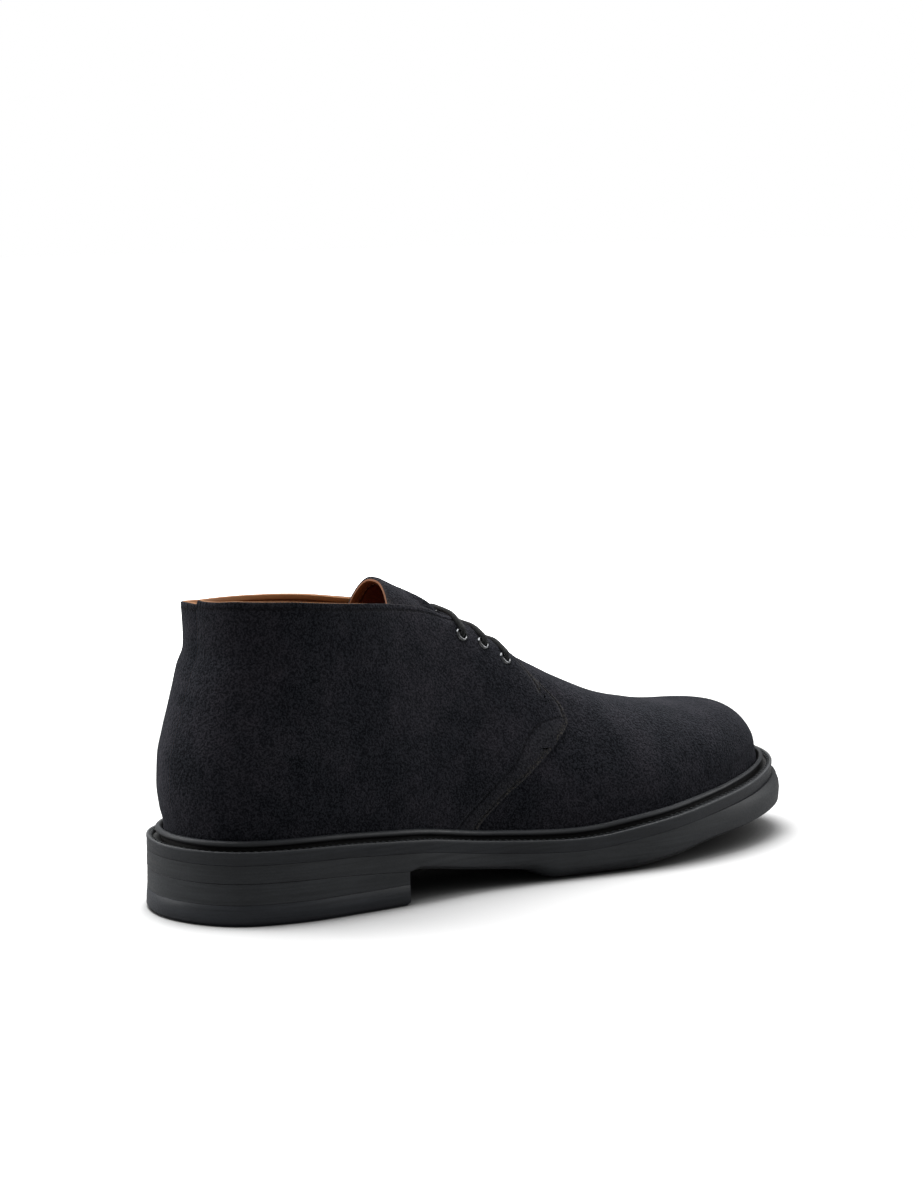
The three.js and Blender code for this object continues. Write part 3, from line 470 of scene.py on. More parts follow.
def nap_group():
    """Nap: a mask of stroked patches and fine fibre, and the fibre's own height."""
    group, given, made = new_group(
        "nap", (("Vector", "NodeSocketVector", (0, 0, 0)),),
        (("Patches", "NodeSocketFloat"), ("Fibre", "NodeSocketFloat"),
         ("Height", "NodeSocketFloat")))
    vector = given.outputs["Vector"]
    broad = add_range(group, add_noise(group, vector, PATCH_SIZE, 4, 0.55), 0.38, 0.66)
    cloud = add_range(group, add_noise(group, vector, PATCH_SIZE * 4.5, 3, 0.6), 0.34, 0.7)
    patches = add_math(group, "ADD", add_math(group, "MULTIPLY", broad, 0.62),
                       add_math(group, "MULTIPLY", cloud, 0.38))
    fine = add_noise(group, vector, NAP_SIZE, 1, 0.6)
    tuft = add_noise(group, vector, NAP_SIZE * 0.58, 1, 0.5)
    fibre = add_range(group, add_math(group, "ADD", add_math(group, "MULTIPLY", fine, 0.68),
                                      add_math(group, "MULTIPLY", tuft, 0.32)), 0.42, 0.58)
    group.links.new(patches, made.inputs["Patches"])
    group.links.new(fibre, made.inputs["Fibre"])
    height = add_math(group, "ADD", fine, add_math(group, "MULTIPLY", tuft, 1.4))
    group.links.new(height, made.inputs["Height"])
    return group


nap = nap_group()


def seam_group():
    """Marks of making, from a point's distances in millimetres to the piece's edges and rows.

    Pale is the cut edge, Groove is the line that the stitches pull down and that the
    materials darken with painted shade, Frayed is the fuzzy band inside the front edge and Flap
    is the corner in front of the second row.
    """
    group, given, made = new_group(
        "seam_marks",
        (("From Edge", "NodeSocketFloat", 40.0), ("From Top", "NodeSocketFloat", 40.0),
         ("From Row", "NodeSocketFloat", 40.0), ("Edge Row", "NodeSocketFloat", 2.0),
         ("Top Row", "NodeSocketFloat", 2.5), ("Second Row", "NodeSocketFloat", 2.5),
         ("Pale Width", "NodeSocketFloat", 0.8)),
        (("Pale", "NodeSocketFloat"), ("Groove", "NodeSocketFloat"),
         ("Frayed", "NodeSocketFloat"), ("Flap", "NodeSocketFloat")))
    value = given.outputs
    nearest = add_math(group, "MINIMUM", value["From Edge"], value["From Top"])
    pale = add_math(group, "SUBTRACT", 1.0,
                    add_math(group, "DIVIDE", nearest, value["Pale Width"]), clamp=True)
    away = []
    for distance, row in (("From Edge", "Edge Row"), ("From Top", "Top Row"),
                          ("From Top", "Second Row")):
        away.append(add_math(group, "ABSOLUTE",
                             add_math(group, "SUBTRACT", value[distance], value[row])))
    away.append(add_math(group, "ABSOLUTE", value["From Row"]))
    closest = away[0]
    for other in away[1:]:
        closest = add_math(group, "MINIMUM", closest, other)
    group.links.new(pale, made.inputs["Pale"])
    group.links.new(add_range(group, closest, 0.15, 0.95, 1.0, 0.0), made.inputs["Groove"])
    group.links.new(add_range(group, value["From Edge"], 0.6, 4.2, 1.0, 0.0),
                    made.inputs["Frayed"])
    flap = add_math(group, "MULTIPLY", add_range(group, value["From Row"], -0.3, 3.0),
                    add_range(group, value["From Row"], 30.0, 34.0, 1.0, 0.0))
    group.links.new(flap, made.inputs["Flap"])
    return group


seam_marks = seam_group()


def add_seams(tree, edge_row, top_row, second_row, pale_width):
    """Places the seam marks in a material, read from the piece's own distances."""
    marks = tree.nodes.new("ShaderNodeGroup")
    marks.node_tree = seam_marks
    for name, socket in (("from_edge", "From Edge"), ("from_top", "From Top"),
                         ("from_row", "From Row")):
        distance = tree.nodes.new("ShaderNodeAttribute")
        distance.attribute_name = name
        tree.links.new(distance.outputs["Fac"], marks.inputs[socket])
    for socket, value in (("Edge Row", edge_row), ("Top Row", top_row),
                          ("Second Row", second_row), ("Pale Width", pale_width)):
        marks.inputs[socket].default_value = value
    return marks.outputs


def suede_material(name, edge_row=2.0, top_row=2.5):
    """Suede that pales at its cut edges, part raw fibre and part painted highlight, and puckers
    along its rows of stitches, with painted shade in their grooves.
    """
    material, tree, shader, place = new_material(name)
    effect = tree.nodes.new("ShaderNodeGroup")
    effect.node_tree = nap
    tree.links.new(place, effect.inputs["Vector"])
    marks = add_seams(tree, edge_row, top_row, top_row, 0.7)
    groove = marks["Groove"]
    patches = add_math(tree, "MULTIPLY", effect.outputs["Patches"], 0.34)
    fibre = add_math(tree, "MULTIPLY", effect.outputs["Fibre"], 0.66)
    raised = add_mix(tree, effect.outputs["Patches"], SUEDE_BLUE, SUEDE_VIOLET)
    colour = add_mix(tree, add_math(tree, "ADD", patches, fibre, clamp=True), SUEDE_DARK,
                     raised)
    fleck = add_range(tree, add_noise(tree, place, 1300, 2, 0.7), 0.45, 0.64)
    rubbed = add_math(tree, "ADD", 0.10, add_math(tree, "MULTIPLY", fleck, 0.62), clamp=True)
    colour = add_mix(tree, add_math(tree, "MULTIPLY", rubbed, marks["Flap"]), colour,
                     SUEDE_WORN)
    # Painted shade: the stitch grooves are darkened towards near-black.
    colour = add_mix(tree, add_math(tree, "MULTIPLY", groove, 0.36), colour, SUEDE_GROOVE_SHADE)
    frayed = add_math(tree, "MULTIPLY", add_math(tree, "MULTIPLY", fleck, marks["Frayed"]),
                      0.85)
    colour = add_mix(tree, frayed, colour, SUEDE_FRAY)
    # The cut edges are painted paler: part raw fibre, part a highlight where the rolled edge
    # catches light.
    colour = add_mix(tree, add_math(tree, "MULTIPLY", marks["Pale"], 0.26), colour, SUEDE_PALE_EDGE_HIGHLIGHT)
    tree.links.new(colour, shader.inputs["Base Color"])
    shader.inputs["Roughness"].default_value = 0.95
    shader.inputs["Specular IOR Level"].default_value = 0.1
    shader.inputs["Sheen Weight"].default_value = 0.062
    shader.inputs["Sheen Roughness"].default_value = 0.38
    shader.inputs["Sheen Tint"].default_value = (0.84, 0.87, 1.0, 1)
    low = add_bump(tree, add_math(tree, "MULTIPLY", groove, -1.0), 0.0005)
    tree.links.new(add_bump(tree, effect.outputs["Height"], 0.00045, 0.9, low),
                   shader.inputs["Normal"])
    return material


suede = suede_material("suede")


# ---------------------------------------------------------------------------- the lining
# Cognac calf, one skin on the inside of the whole upper. It is pasted to the suede, turned
# over at the top line and stitched there in two rows.
LINING_DEPTH = 2.2
LINING_STITCH_ROWS = (2.6, 4.6)  # down from the top line
FAR = 40.0  # a distance past every mark of making
NO_ROW = 60.0  # a row that never shows
LINING_LIGHT = (0.430, 0.190, 0.070, 1)
LINING_DARK = (0.230, 0.084, 0.030, 1)
SIDE_EDGE_ROLL = (  # how a cut edge turns over: distance in from the edge, and depth
    (0.35, 0.0), (0.1, 0.08), (0.0, 0.22), (0.0, 0.5), (0.12, 0.75), (0.6, 0.85), (3.0, 0.9),
)


def grid_piece(name, columns, rows, place, material, masks=None):
    """A sheet with one point for each column and row, put where place says."""
    bm = bmesh.new()
    bm.loops.layers.uv.new("UVMap")
    bmesh.ops.create_grid(bm, x_segments=columns - 1, y_segments=rows - 1, size=0.5,
                          calc_uvs=True)
    flat = np.array([vert.co for vert in bm.verts])
    column = np.rint((flat[:, 0] + 0.5) * (columns - 1)).astype(int)
    row = np.rint((flat[:, 1] + 0.5) * (rows - 1)).astype(int)
    points = place(column, row)
    for vert, point in zip(bm.verts, in_frame(points)):
        vert.co = point
    for mask, values in (masks(column, row, points) if masks else {}).items():
        layer = bm.verts.layers.float.new(mask)
        for vert, value in zip(bm.verts, values):
            vert[layer] = value
    bmesh.ops.remove_doubles(bm, verts=bm.verts, dist=0.00002)
    return finished(name, bm, material)


def finished(name, bm, material, smooth=True):
    """Makes the bmesh an object that rides with the boot."""
    mesh = bpy.data.meshes.new(name)
    bm.to_mesh(mesh)
    bm.free()
    if smooth:
        mesh.shade_smooth()
        mesh.set_sharp_from_angle(angle=math.radians(38))
    mesh.materials.append(material)
    piece = bpy.data.objects.new(name, mesh)
    bpy.context.scene.collection.objects.link(piece)
    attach(piece, "root")
    return piece


def leather_material(name, light, dark, gloss=0.5, rows=LINING_STITCH_ROWS):
    """Smooth lining leather: fine grain, soft clouds of dye, paler at its edge, and painted shade
    in its stitch grooves.
    """
    material, tree, shader, place = new_material(name)
    cloud = add_range(tree, add_noise(tree, place, 45, 4), 0.35, 0.7)
    marks = add_seams(tree, NO_ROW, rows[0], rows[1], 4.0)
    groove = marks["Groove"]
    lit = add_math(tree, "ADD", add_math(tree, "MULTIPLY", cloud, 0.45), marks["Pale"],
                   clamp=True)
    colour = add_mix(tree, lit, dark, light)
    # Painted shade: the stitch grooves are darkened.
    colour = add_mix(tree, add_math(tree, "MULTIPLY", groove, 0.6), colour,
                     tuple(value * 0.4 for value in dark[:3]) + (1,))
    tree.links.new(colour, shader.inputs["Base Color"])
    shader.inputs["Roughness"].default_value = gloss
    shader.inputs["Specular IOR Level"].default_value = 0.35
    grain = tree.nodes.new("ShaderNodeTexVoronoi")
    grain.inputs["Scale"].default_value = 1300
    tree.links.new(place, grain.inputs["Vector"])
    low = add_bump(tree, add_math(tree, "MULTIPLY", groove, -1.0), 0.0005)
    tree.links.new(add_bump(tree, grain.outputs["Distance"], 0.00012, 0.6, low),
                   shader.inputs["Normal"])
    return material


lining_leather = leather_material("lining_leather", LINING_LIGHT, LINING_DARK)

lining_ways = np.concatenate([
    np.arange(-HEEL_RUN, 84, 3.0), np.arange(84, 132, 1.0),
    np.linspace(132, SIDE_RUN + TOE_RUN, 56)])
LINING_ROWS = (  # distance down from the top line, then fractions of what is left, and depth
    [(0.9, 1, 0.8), (0.1, 1, 0.85), (-0.18, 1, 1.05), (-0.18, 1, 1.6), (0.0, 1, 1.95),
     (0.6, 1, 2.18)]
    + [(1.5 + step, 1, 2.2) for step in (0, 0.7, 1.4, 2.1, 2.8, 3.5, 4.5, 6)]
    + [(8, part, 2.2) for part in np.linspace(1, 0.04, 34)])


def lining_side(side):
    down, part, depth = (np.array(column) for column in zip(*LINING_ROWS))

    def place(column, row):
        way = lining_ways[column]
        up = np.maximum(skins[side].edge(way) - down[row], 0) * part[row]
        return on_boot(side, way, up, depth[row])[0]

    def masks(column, row, points):
        way = lining_ways[column]
        up = np.maximum(skins[side].edge(way) - down[row], 0) * part[row]
        ahead = FAR * smooth_step(way, 118, 126)
        far = np.full(len(column), FAR)
        return {"from_edge": far, "from_top": skins[side].edge(way) - up + ahead,
                "from_row": far}

    name = "lining_lateral" if side < 0 else "lining_medial"
    piece = grid_piece(name, len(lining_ways), len(LINING_ROWS), place, lining_leather,
                       masks)
    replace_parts(piece, "upper")
    if side > 0:
        piece.data.flip_normals()


for side in (LATERAL, MEDIAL):
    lining_side(side)


# ---------------------------------------------------------------------------- the vamp
# One suede cutting over the toe and the ball of the foot. Its back edge runs under the
# quarters, so it lies deeper there.
FRONT_EDGE = {  # front edge of the quarters: how far along the boot at each height
    "z": (23.5, 29.3, 35.9, 42.1, 45.5, 48.8, 53.1, 57.1, 59.4, 60.8, 65.5, 68.5, 72.6, 76.9,
          82.5, 85.5, 88.5),
    "x": (126.4, 131.5, 139.5, 149.2, 153.9, 159.1, 165.2, 171.2, 173.8, 174.6, 174.5, 173.0,
          169.6, 165.9, 161.6, 159.9, 158.7),
}
UNDERLAP = 7.0
UNDERLAP_DEPTH = 0.9


def front_ways(side, up_at):
    """Way round the boot of the quarters' front edge, for each row of heights."""
    skin = skins[side]
    low, high = np.full(up_at(0.0).shape, 70.0), np.full(up_at(0.0).shape, 150.0)
    for _ in range(34):
        middle = (low + high) / 2
        point, _ = skin.at(middle, up_at(middle))
        edge = np.interp(point[..., 2], FRONT_EDGE["z"], FRONT_EDGE["x"])
        past = point[..., 0] > edge
        high = np.where(past, middle, high)
        low = np.where(past, low, middle)
    return (low + high) / 2


VAMP_ROWS = np.linspace(-1, 1, 121)
VAMP_COLUMNS = 150


def vamp():
    side_of = np.where(VAMP_ROWS < 0, LATERAL, MEDIAL)
    climb = 1 - np.abs(VAMP_ROWS)
    start = np.empty(len(VAMP_ROWS))
    for side in (LATERAL, MEDIAL):
        rows = side_of == side
        found = front_ways(side, lambda way: skins[side].full(way) * climb[rows])
        start[rows] = found - UNDERLAP * (1 - smooth_step(climb[rows], 0.8, 0.97))
    tip = SIDE_RUN + TOE_RUN

    def place(column, row):
        part = column / (VAMP_COLUMNS - 1)
        way = blend(start[row], tip, part)
        under = 1 - smooth_step(way - start[row], 3, 22)
        points = np.empty((len(way), 3))
        for side in (LATERAL, MEDIAL):
            here = side_of[row] == side
            up = skins[side].full(way[here]) * climb[row[here]]
            points[here], _ = on_boot(side, way[here], up,
                                      UNDERLAP_DEPTH * under[here])
        return points

    def masks(column, row, points):
        far = np.full(len(column), FAR)
        return {"from_edge": far, "from_top": far, "from_row": far}

    piece = grid_piece("vamp", VAMP_COLUMNS, len(VAMP_ROWS), place, suede, masks)
    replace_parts(piece, "upper")


vamp()


# ---------------------------------------------------------------------------- the quarters
# Two suede cuttings that meet at the back seam and lie over the vamp. Each has a cut edge
# all round, and rows of stitches along it; the front corner is held by a second row that
# closes a flap against the vamp.
QUARTER_STITCH_IN = 2.0
COLLAR_STITCH_IN = 2.5
QUARTER_PROUD = 0.35  # the front edge stands over the vamp
EDGE_BAND = 14.0  # the finely divided band inside a cut edge
FLAP_ROW = {  # second row of the front corner: how far along the boot at each height
    "z": (24, 30.5, 36.2, 41.8, 46.6, 50.9, 54.2, 57.0, 59.4, 61.2, 62.0, 62.1),
    "x": (116.0, 122.0, 128.9, 136.0, 142.6, 146.8, 149.2, 152.0, 155.4, 160.0, 166.0, 171.0),
}
QUARTER_NEAR = [(0.35, 0), (0.9, 0), (1.5, 0), (2.1, 0), (2.8, 0), (3.6, 0), (4.6, 0), (6, 0),
                (8, 0), (10, 0), (12, 0), (EDGE_BAND, 0)]


def distance_to_line(points, line):
    """Distance from each point to a line through a few points."""
    best = np.full(len(points), 99.0)
    for start, end in zip(line[:-1], line[1:]):
        run = end - start
        part = np.clip(((points - start) @ run) / (run @ run), 0, 1)
        away = np.linalg.norm(points - start - part[:, None] * run, axis=1)
        best = np.minimum(best, away)
    return best


def flap_line(side, steps=60):
    """The second row as points on the skin, from the sole up to the front corner."""
    run = np.linspace(0, 1, steps) * (len(FLAP_ROW["z"]) - 1)
    z = np.interp(run, np.arange(len(FLAP_ROW["z"])), FLAP_ROW["z"])
    x = np.interp(run, np.arange(len(FLAP_ROW["x"])), FLAP_ROW["x"])
    skin = skins[side]
    low, high = np.zeros(steps), skin.full(x - HEEL_AXIS)
    for _ in range(30):
        middle = (low + high) / 2
        point, _ = skin.at(x - HEEL_AXIS, middle)
        over = point[:, 2] > z
        high = np.where(over, middle, high)
        low = np.where(over, low, middle)
    return x - HEEL_AXIS, (low + high) / 2


def quarter(side):
    columns = ([(inset_mm, depth, 0.0) for inset_mm, depth in SIDE_EDGE_ROLL[::-1]]
               + [(inset_mm, depth, 0.0) for inset_mm, depth in QUARTER_NEAR[1:]]
               + [(EDGE_BAND, 0.0, part) for part in np.linspace(0, 1, 112)[1:]])
    rows = ([(inset_mm, depth, 1.0) for inset_mm, depth in SIDE_EDGE_ROLL[::-1]]
            + [(inset_mm, depth, 1.0) for inset_mm, depth in QUARTER_NEAR[1:]]
            + [(EDGE_BAND, 0.0, part) for part in np.linspace(1, 0, 84)[1:]])
    in_column, deep_column, back = (np.array(column) for column in zip(*columns))
    in_row, deep_row, climb = (np.array(row) for row in zip(*rows))
    skin = skins[side]

    def up_at(way):
        return np.maximum(skin.edge(way) - in_row, 0) * climb

    front = front_ways(side, up_at)
    flap = skin.at(*flap_line(side))[0]

    def place(column, row):
        way = blend(front[row] - in_column[column], -HEEL_RUN, back[column])
        up = np.maximum(skin.edge(way) - in_row[row], 0) * climb[row]
        proud = QUARTER_PROUD * (1 - smooth_step(front[row] - way, 2, 30))
        depth = np.maximum(deep_column[column], deep_row[row]) - proud
        return on_boot(side, way, up, depth)[0]

    def masks(column, row, points):
        way = blend(front[row] - in_column[column], -HEEL_RUN, back[column])
        up = np.maximum(skin.edge(way) - in_row[row], 0) * climb[row]
        in_flap = points[:, 2] < np.interp(points[:, 0], FLAP_ROW["x"], FLAP_ROW["z"], left=0)
        return {"from_edge": front[row] - way, "from_top": skin.edge(way) - up,
                "from_row": distance_to_line(points, flap) * np.where(in_flap, 1, -1)}

    name = "quarter_lateral" if side < 0 else "quarter_medial"
    piece = grid_piece(name, len(columns), len(rows), place, suede, masks)
    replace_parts(piece, "upper")
    if side > 0:
        piece.data.flip_normals()


for side in (LATERAL, MEDIAL):
    quarter(side)


# ---------------------------------------------------------------------------- the tongue
# Suede outside and lining leather inside, stitched together round its edge. It hangs from
# the vamp under the lacing and stands a little above the top line.
TONGUE = {  # half width from the top edge to the seam under the vamp
    "at": (.331, .344, .366, .451, .516, .575),
    "half": (19, 21, 21.5, 21, 18, 13),
}
TONGUE_LIGHT = (0.240, 0.084, 0.026, 1)
TONGUE_DARK = (0.125, 0.028, 0.013, 1)
TONGUE_CLEARANCE = 1.2
TONGUE_THICK = 2.4
TONGUE_CORNER = -4.0
TONGUE_STITCH_IN = 3.0
TONGUE_LENGTH = 76.0
TONGUE_STITCH_AT = 0.85  # across the tongue, in half widths
EYELETS = ((130.4, 17.3), (141.5, 17.1), (151.6, 18.6))  # along the boot, out from the crest


def crest_point(x, reach, side):
    """A point of the last's top at a reach to one side of the crest, and its normal."""
    skin = skins[side]
    way = np.asarray(x, float) - HEEL_AXIS
    full = skin.full(way)
    low, high = full * 0.35, full.copy()
    for _ in range(30):
        middle = (low + high) / 2
        point, _ = skin.at(way, middle)
        inside = np.abs(point[..., 1] - drift(point[..., 0])) < reach
        high = np.where(inside, middle, high)
        low = np.where(inside, low, middle)
    return skin.at(way, (low + high) / 2)


def tongue_sag(x, reach):
    """The tongue swells between the facings, which press down its sides, and under each bar
    of lace it gives."""
    laced = smooth_step(x, 108, 122) * (1 - smooth_step(x, 160, 172))
    at_side = smooth_step(reach, 4, 9)
    sag = blend(-1.1, 0.9, at_side) * laced
    for station, _ in EYELETS:
        sag = sag + 1.3 * np.exp(-((x - station) / 3.2) ** 2) * (1 - at_side)
    return sag


def tongue_point(spine, signed, depth):
    """A point of the tongue: spine from 0 at its top to 1 at the vamp, signed across it."""
    at = np.array(TONGUE["at"]) * SHOE_LENGTH
    first, final = at[0], at[-1]
    half = along(blend(first, final, spine), at, TONGUE["half"])
    reach = np.maximum(np.abs(signed) * half, 0.05)
    x = blend(first + TONGUE_CORNER * (reach / TONGUE["half"][0]) ** 2, final, spine)
    points = np.empty((len(x), 3))
    for side in (LATERAL, MEDIAL):
        here = (signed < 0) if side < 0 else (signed >= 0)
        point, normal = crest_point(x[here], reach[here], side)
        flat = smooth_step(reach[here], 0, 3)
        normal[:, 1] *= flat
        normal /= np.linalg.norm(normal, axis=1)[:, None]
        under = WALL + TONGUE_CLEARANCE + depth[here] + tongue_sag(x[here], reach[here])
        points[here] = point - normal * under[:, None]
    return points


def tongue_skin(name, depths, material):
    """One skin of the tongue, rolled over at its top and its sides."""
    roll = [(0.004 * k, depth) for k, depth in depths]
    spine = np.array([k for k, _ in roll] + list(np.linspace(0.03, 1, 58)))
    spine_depth = np.array([depth for _, depth in roll] + [depths[-1][1]] * 58)
    across = np.array([-1 + k for k, _ in roll] + list(np.linspace(-0.96, 0.96, 45))
                      + [1 - k for k, _ in roll[::-1]])
    across_depth = np.array([depth for _, depth in roll] + [depths[-1][1]] * 45
                            + [depth for _, depth in roll[::-1]])
    outer = depths[-1][1] < TONGUE_THICK / 2

    def place(column, row):
        if outer:
            depth = np.maximum(across_depth[column], spine_depth[row])
        else:
            depth = np.minimum(across_depth[column], spine_depth[row])
        return tongue_point(spine[row], across[column], depth)

    def masks(column, row, points):
        from_side = (1 - np.abs(across[column])) * 20
        from_top = spine[row] * TONGUE_LENGTH
        far = np.full(len(column), FAR)
        return {"from_edge": from_side, "from_top": from_top, "from_row": far}

    piece = grid_piece(name, len(across), len(spine), place, material, masks)
    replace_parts(piece, "tongue")
    return piece


tongue_skin(
    "tongue_suede", ((0, 1.25), (0, 0.6), (1, 0.15), (4, 0.0)),
    suede_material("tongue_suede", NO_ROW, NO_ROW))
tongue_inner = tongue_skin(
    "tongue_lining", ((0, 1.3), (0, 2.0), (1.2, 2.3), (4, 2.4)),
    leather_material("tongue_leather", TONGUE_LIGHT, TONGUE_DARK, 0.5,
                     (TONGUE_STITCH_IN, TONGUE_STITCH_IN)))
tongue_inner.data.flip_normals()


# ---------------------------------------------------------------------------- the insole
# A leather sock on a board, inside the wall. It lies on the welt's level.
INSOLE_THICK = 4.6
SOCK_LIGHT = (0.40, 0.185, 0.075, 1)
SOCK_DARK = (0.27, 0.11, 0.042, 1)
NO_ROWS = (90.0, 90.0)


def centre_line():
    """The ring drawn in to the boot's centre line, which closes a cap without a pole."""
    x = np.clip(welt_plan[:, 0], HEEL_AXIS, TOE_AXIS)
    return np.stack([x, drift(x)], -1)


def ring_piece(name, levels, material, painted_light=None):
    """A body of rings: each level has an inset from the welt's edge, or None, and a height.

    Painted light gives each level a value: from 1, near-black shade painted in a recess, to -1,
    a pale edge painted as part rubbed wear and part highlight.
    """
    rings = []
    for level_inset, level_height in levels:
        if level_inset is None:
            ring = centre_line()
        else:
            ring = inset(welt_plan, level_inset(welt_plan[:, 0]))
        rings.append(np.concatenate([ring, level_height(ring[:, 0])[:, None]], 1))
    rings = np.array(rings)

    def place(column, row):
        return rings[row, column % len(welt_plan)]

    def masks(column, row, points):
        # each level's painted shade or highlight, read by the rubber's colour
        return {"recess": np.array(painted_light)[row]}

    return grid_piece(name, len(welt_plan) + 1, len(rings), place, material,
                      masks if painted_light else None)


def same(amount):
    return lambda x: np.full(np.shape(x), float(amount))


def insole_edge(x):
    return welt_width(x) + WALL + 0.3


insole = ring_piece("insole_sock", [
    (insole_edge, foot_height),
    (insole_edge, lambda x: foot_height(x) + INSOLE_THICK - 0.9),
    (lambda x: insole_edge(x) + 0.4, lambda x: foot_height(x) + INSOLE_THICK - 0.25),
    (lambda x: insole_edge(x) + 1.2, lambda x: foot_height(x) + INSOLE_THICK),
    (lambda x: insole_edge(x) + 7, lambda x: foot_height(x) + INSOLE_THICK),
    (lambda x: insole_edge(x) + 14, lambda x: foot_height(x) + INSOLE_THICK - 0.3),
    (None, lambda x: foot_height(x) + INSOLE_THICK - 0.6),
], leather_material("sock_leather", SOCK_LIGHT, SOCK_DARK, 0.45, NO_ROWS))
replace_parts(insole, "insole")


# ---------------------------------------------------------------------------- the welt
# A storm welt: a rubber strip with a raised bead that presses on the suede, a groove, and a
# flange that is stitched down to the outsole and wheeled along its lip. Shade is painted
# near-black into the groove and round the bead, and the lip is painted pale, part wear and part
# highlight.
RUBBER_DARK = (0.0145, 0.0168, 0.0202, 1)
RUBBER_LIGHT = (0.0300, 0.0337, 0.0390, 1)
# Near-black painted shade for the welt's groove, and a pale lip that is part wear, part painted
# highlight.
RUBBER_PAINTED_SHADE = (0.0015, 0.0017, 0.0020, 1)
RUBBER_RUBBED_HIGHLIGHT = (0.0720, 0.0760, 0.0800, 1)


def bead_top(x):
    return flange_top(x) + blend(3.4, 2.4, smooth_step(x, THROAT_BASE, TOE_AXIS))


def rubber_material(name, dark, light):
    """Satin rubber, trimmed and brushed along the edge of the sole, with shade painted into its
    recesses and a highlight painted on its worn lip.
    """
    material, tree, shader, place = new_material(name)
    stretch = tree.nodes.new("ShaderNodeMapping")
    stretch.inputs["Scale"].default_value = (0.035, 0.035, 1.0)
    tree.links.new(place, stretch.inputs["Vector"])
    brushed = add_noise(tree, stretch.outputs["Vector"], 900, 3, 0.6)
    cloud = add_noise(tree, place, 40, 3, 0.55)
    speck = add_noise(tree, place, 1400, 2, 0.6)
    mixed = add_math(tree, "ADD", add_math(tree, "MULTIPLY", brushed, 0.65),
                     add_math(tree, "MULTIPLY", cloud, 0.4))
    colour = add_mix(tree, add_range(tree, mixed, 0.36, 0.70), dark, light)
    # Painted shade: levels marked above 0 darken towards near-black, where the groove and the
    # bead's foot lie in shadow.
    shade = tree.nodes.new("ShaderNodeAttribute")
    shade.attribute_name = "recess"
    colour = add_mix(tree, add_range(tree, shade.outputs["Fac"], 0.0, 1.0), colour,
                     RUBBER_PAINTED_SHADE)
    # Levels marked below 0 pale with specks: the lip's wear and a painted highlight on its edge.
    rubbed = add_math(tree, "MULTIPLY", add_range(tree, shade.outputs["Fac"], -1.0, 0.0, 1.0, 0.0),
                      add_range(tree, speck, 0.3, 0.6, 0.35, 1.0))
    colour = add_mix(tree, rubbed, colour, RUBBER_RUBBED_HIGHLIGHT)
    tree.links.new(colour, shader.inputs["Base Color"])
    rough = add_range(tree, add_math(tree, "ADD", speck, brushed), 0.7, 1.3, 0.42, 0.62)
    tree.links.new(rough, shader.inputs["Roughness"])
    shader.inputs["Specular IOR Level"].default_value = 0.45
    height = add_math(tree, "ADD", add_math(tree, "MULTIPLY", brushed, 1.2), speck)
    tree.links.new(add_bump(tree, height, 0.00008, 0.5), shader.inputs["Normal"])
    return material


rubber = rubber_material("welt_rubber", RUBBER_DARK, RUBBER_LIGHT)


def bead_radius(x):
    return blend(1.4, 1.0, smooth_step(x, 200, 290))


def bead_ring(angle):
    """A point round the bead: from its foot over the groove, over its top, to the suede."""
    return (lambda x: welt_width(x) - 0.35 - bead_radius(x) * (1 + math.cos(angle)),
            lambda x: bead_top(x) - bead_radius(x) * (1 - math.sin(angle)))


BEAD = (  # turn round the bead in degrees, and its painted shade
    (-55, 1), (-30, 0.8), (-10, 0.5), (10, 0.3), (30, 0.15), (50, 0.1), (70, 0.1), (90, 0.1),
    (110, 0.3), (135, 0.7), (165, 1),
)


def from_suede(distance):
    """Inset of a line that lies a distance out from the bead's inner side."""
    return lambda x: welt_width(x) - 0.3 - distance


def under_flange(drop):
    return lambda x: flange_top(x) - drop


# The third column paints light into the rubber: near-black shade in the groove and round the bead,
# a pale highlight on the worn lip.
WELT_LEVELS = [  # inset, height and painted light: the underside, the lip, the groove and the bead
    (from_suede(0), foot_height, 0),
    (same(0.6), foot_height, 0),
    (same(0.06), lambda x: foot_height(x) + 0.02, 0),
    (same(0.0), lambda x: foot_height(x) + 0.12, 0),
    (same(0.0), under_flange(1.5), 0),
    (same(-0.12), under_flange(1.3), 0),
    (same(-0.12), under_flange(0.45), -0.1),
    (same(0.02), under_flange(0.12), -0.6),
    (same(0.25), under_flange(0.0), -1),
    (same(0.8), under_flange(0.0), -0.8),
    (same(1.05), under_flange(0.15), -0.2),
    (same(1.15), under_flange(0.45), 0.3),
    (from_suede(3.9), under_flange(0.5), 0.5),
    (from_suede(3.7), under_flange(0.7), 0.9),
    (from_suede(3.6), under_flange(1.5), 1),
    (from_suede(0.6), under_flange(1.5), 1),
    (from_suede(0.6), under_flange(-0.35), 1),
    (from_suede(1.0), under_flange(-0.8), 1),
    *((*bead_ring(math.radians(angle)), shade) for angle, shade in BEAD),
    (from_suede(0), foot_height, 1),
]
welt = ring_piece("storm_welt", [level[:2] for level in WELT_LEVELS], rubber,
                  [level[2] for level in WELT_LEVELS])
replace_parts(welt, "welt")


# ---------------------------------------------------------------------------- the outsole
# One rubber unit from heel to toe, thin at the waist and deep under the tread, with its
# side trimmed flush to the welt and flared past it at the toe.
SOLE_BEVEL = 1.7
TREAD_RIM = 9.0
TREAD_CORNER = 0.4
TREAD_DEPTH = 1.6
STUD_RADIUS = 5.2
TREAD_START = 166.0
OUTSOLE_DARK = (0.0150, 0.0172, 0.0200, 1)
OUTSOLE_LIGHT = (0.0310, 0.0345, 0.0385, 1)


def underside(x):
    return read(UNDERSIDE, "height", x)


def sole_top(x):
    return foot_height(x) - 0.05


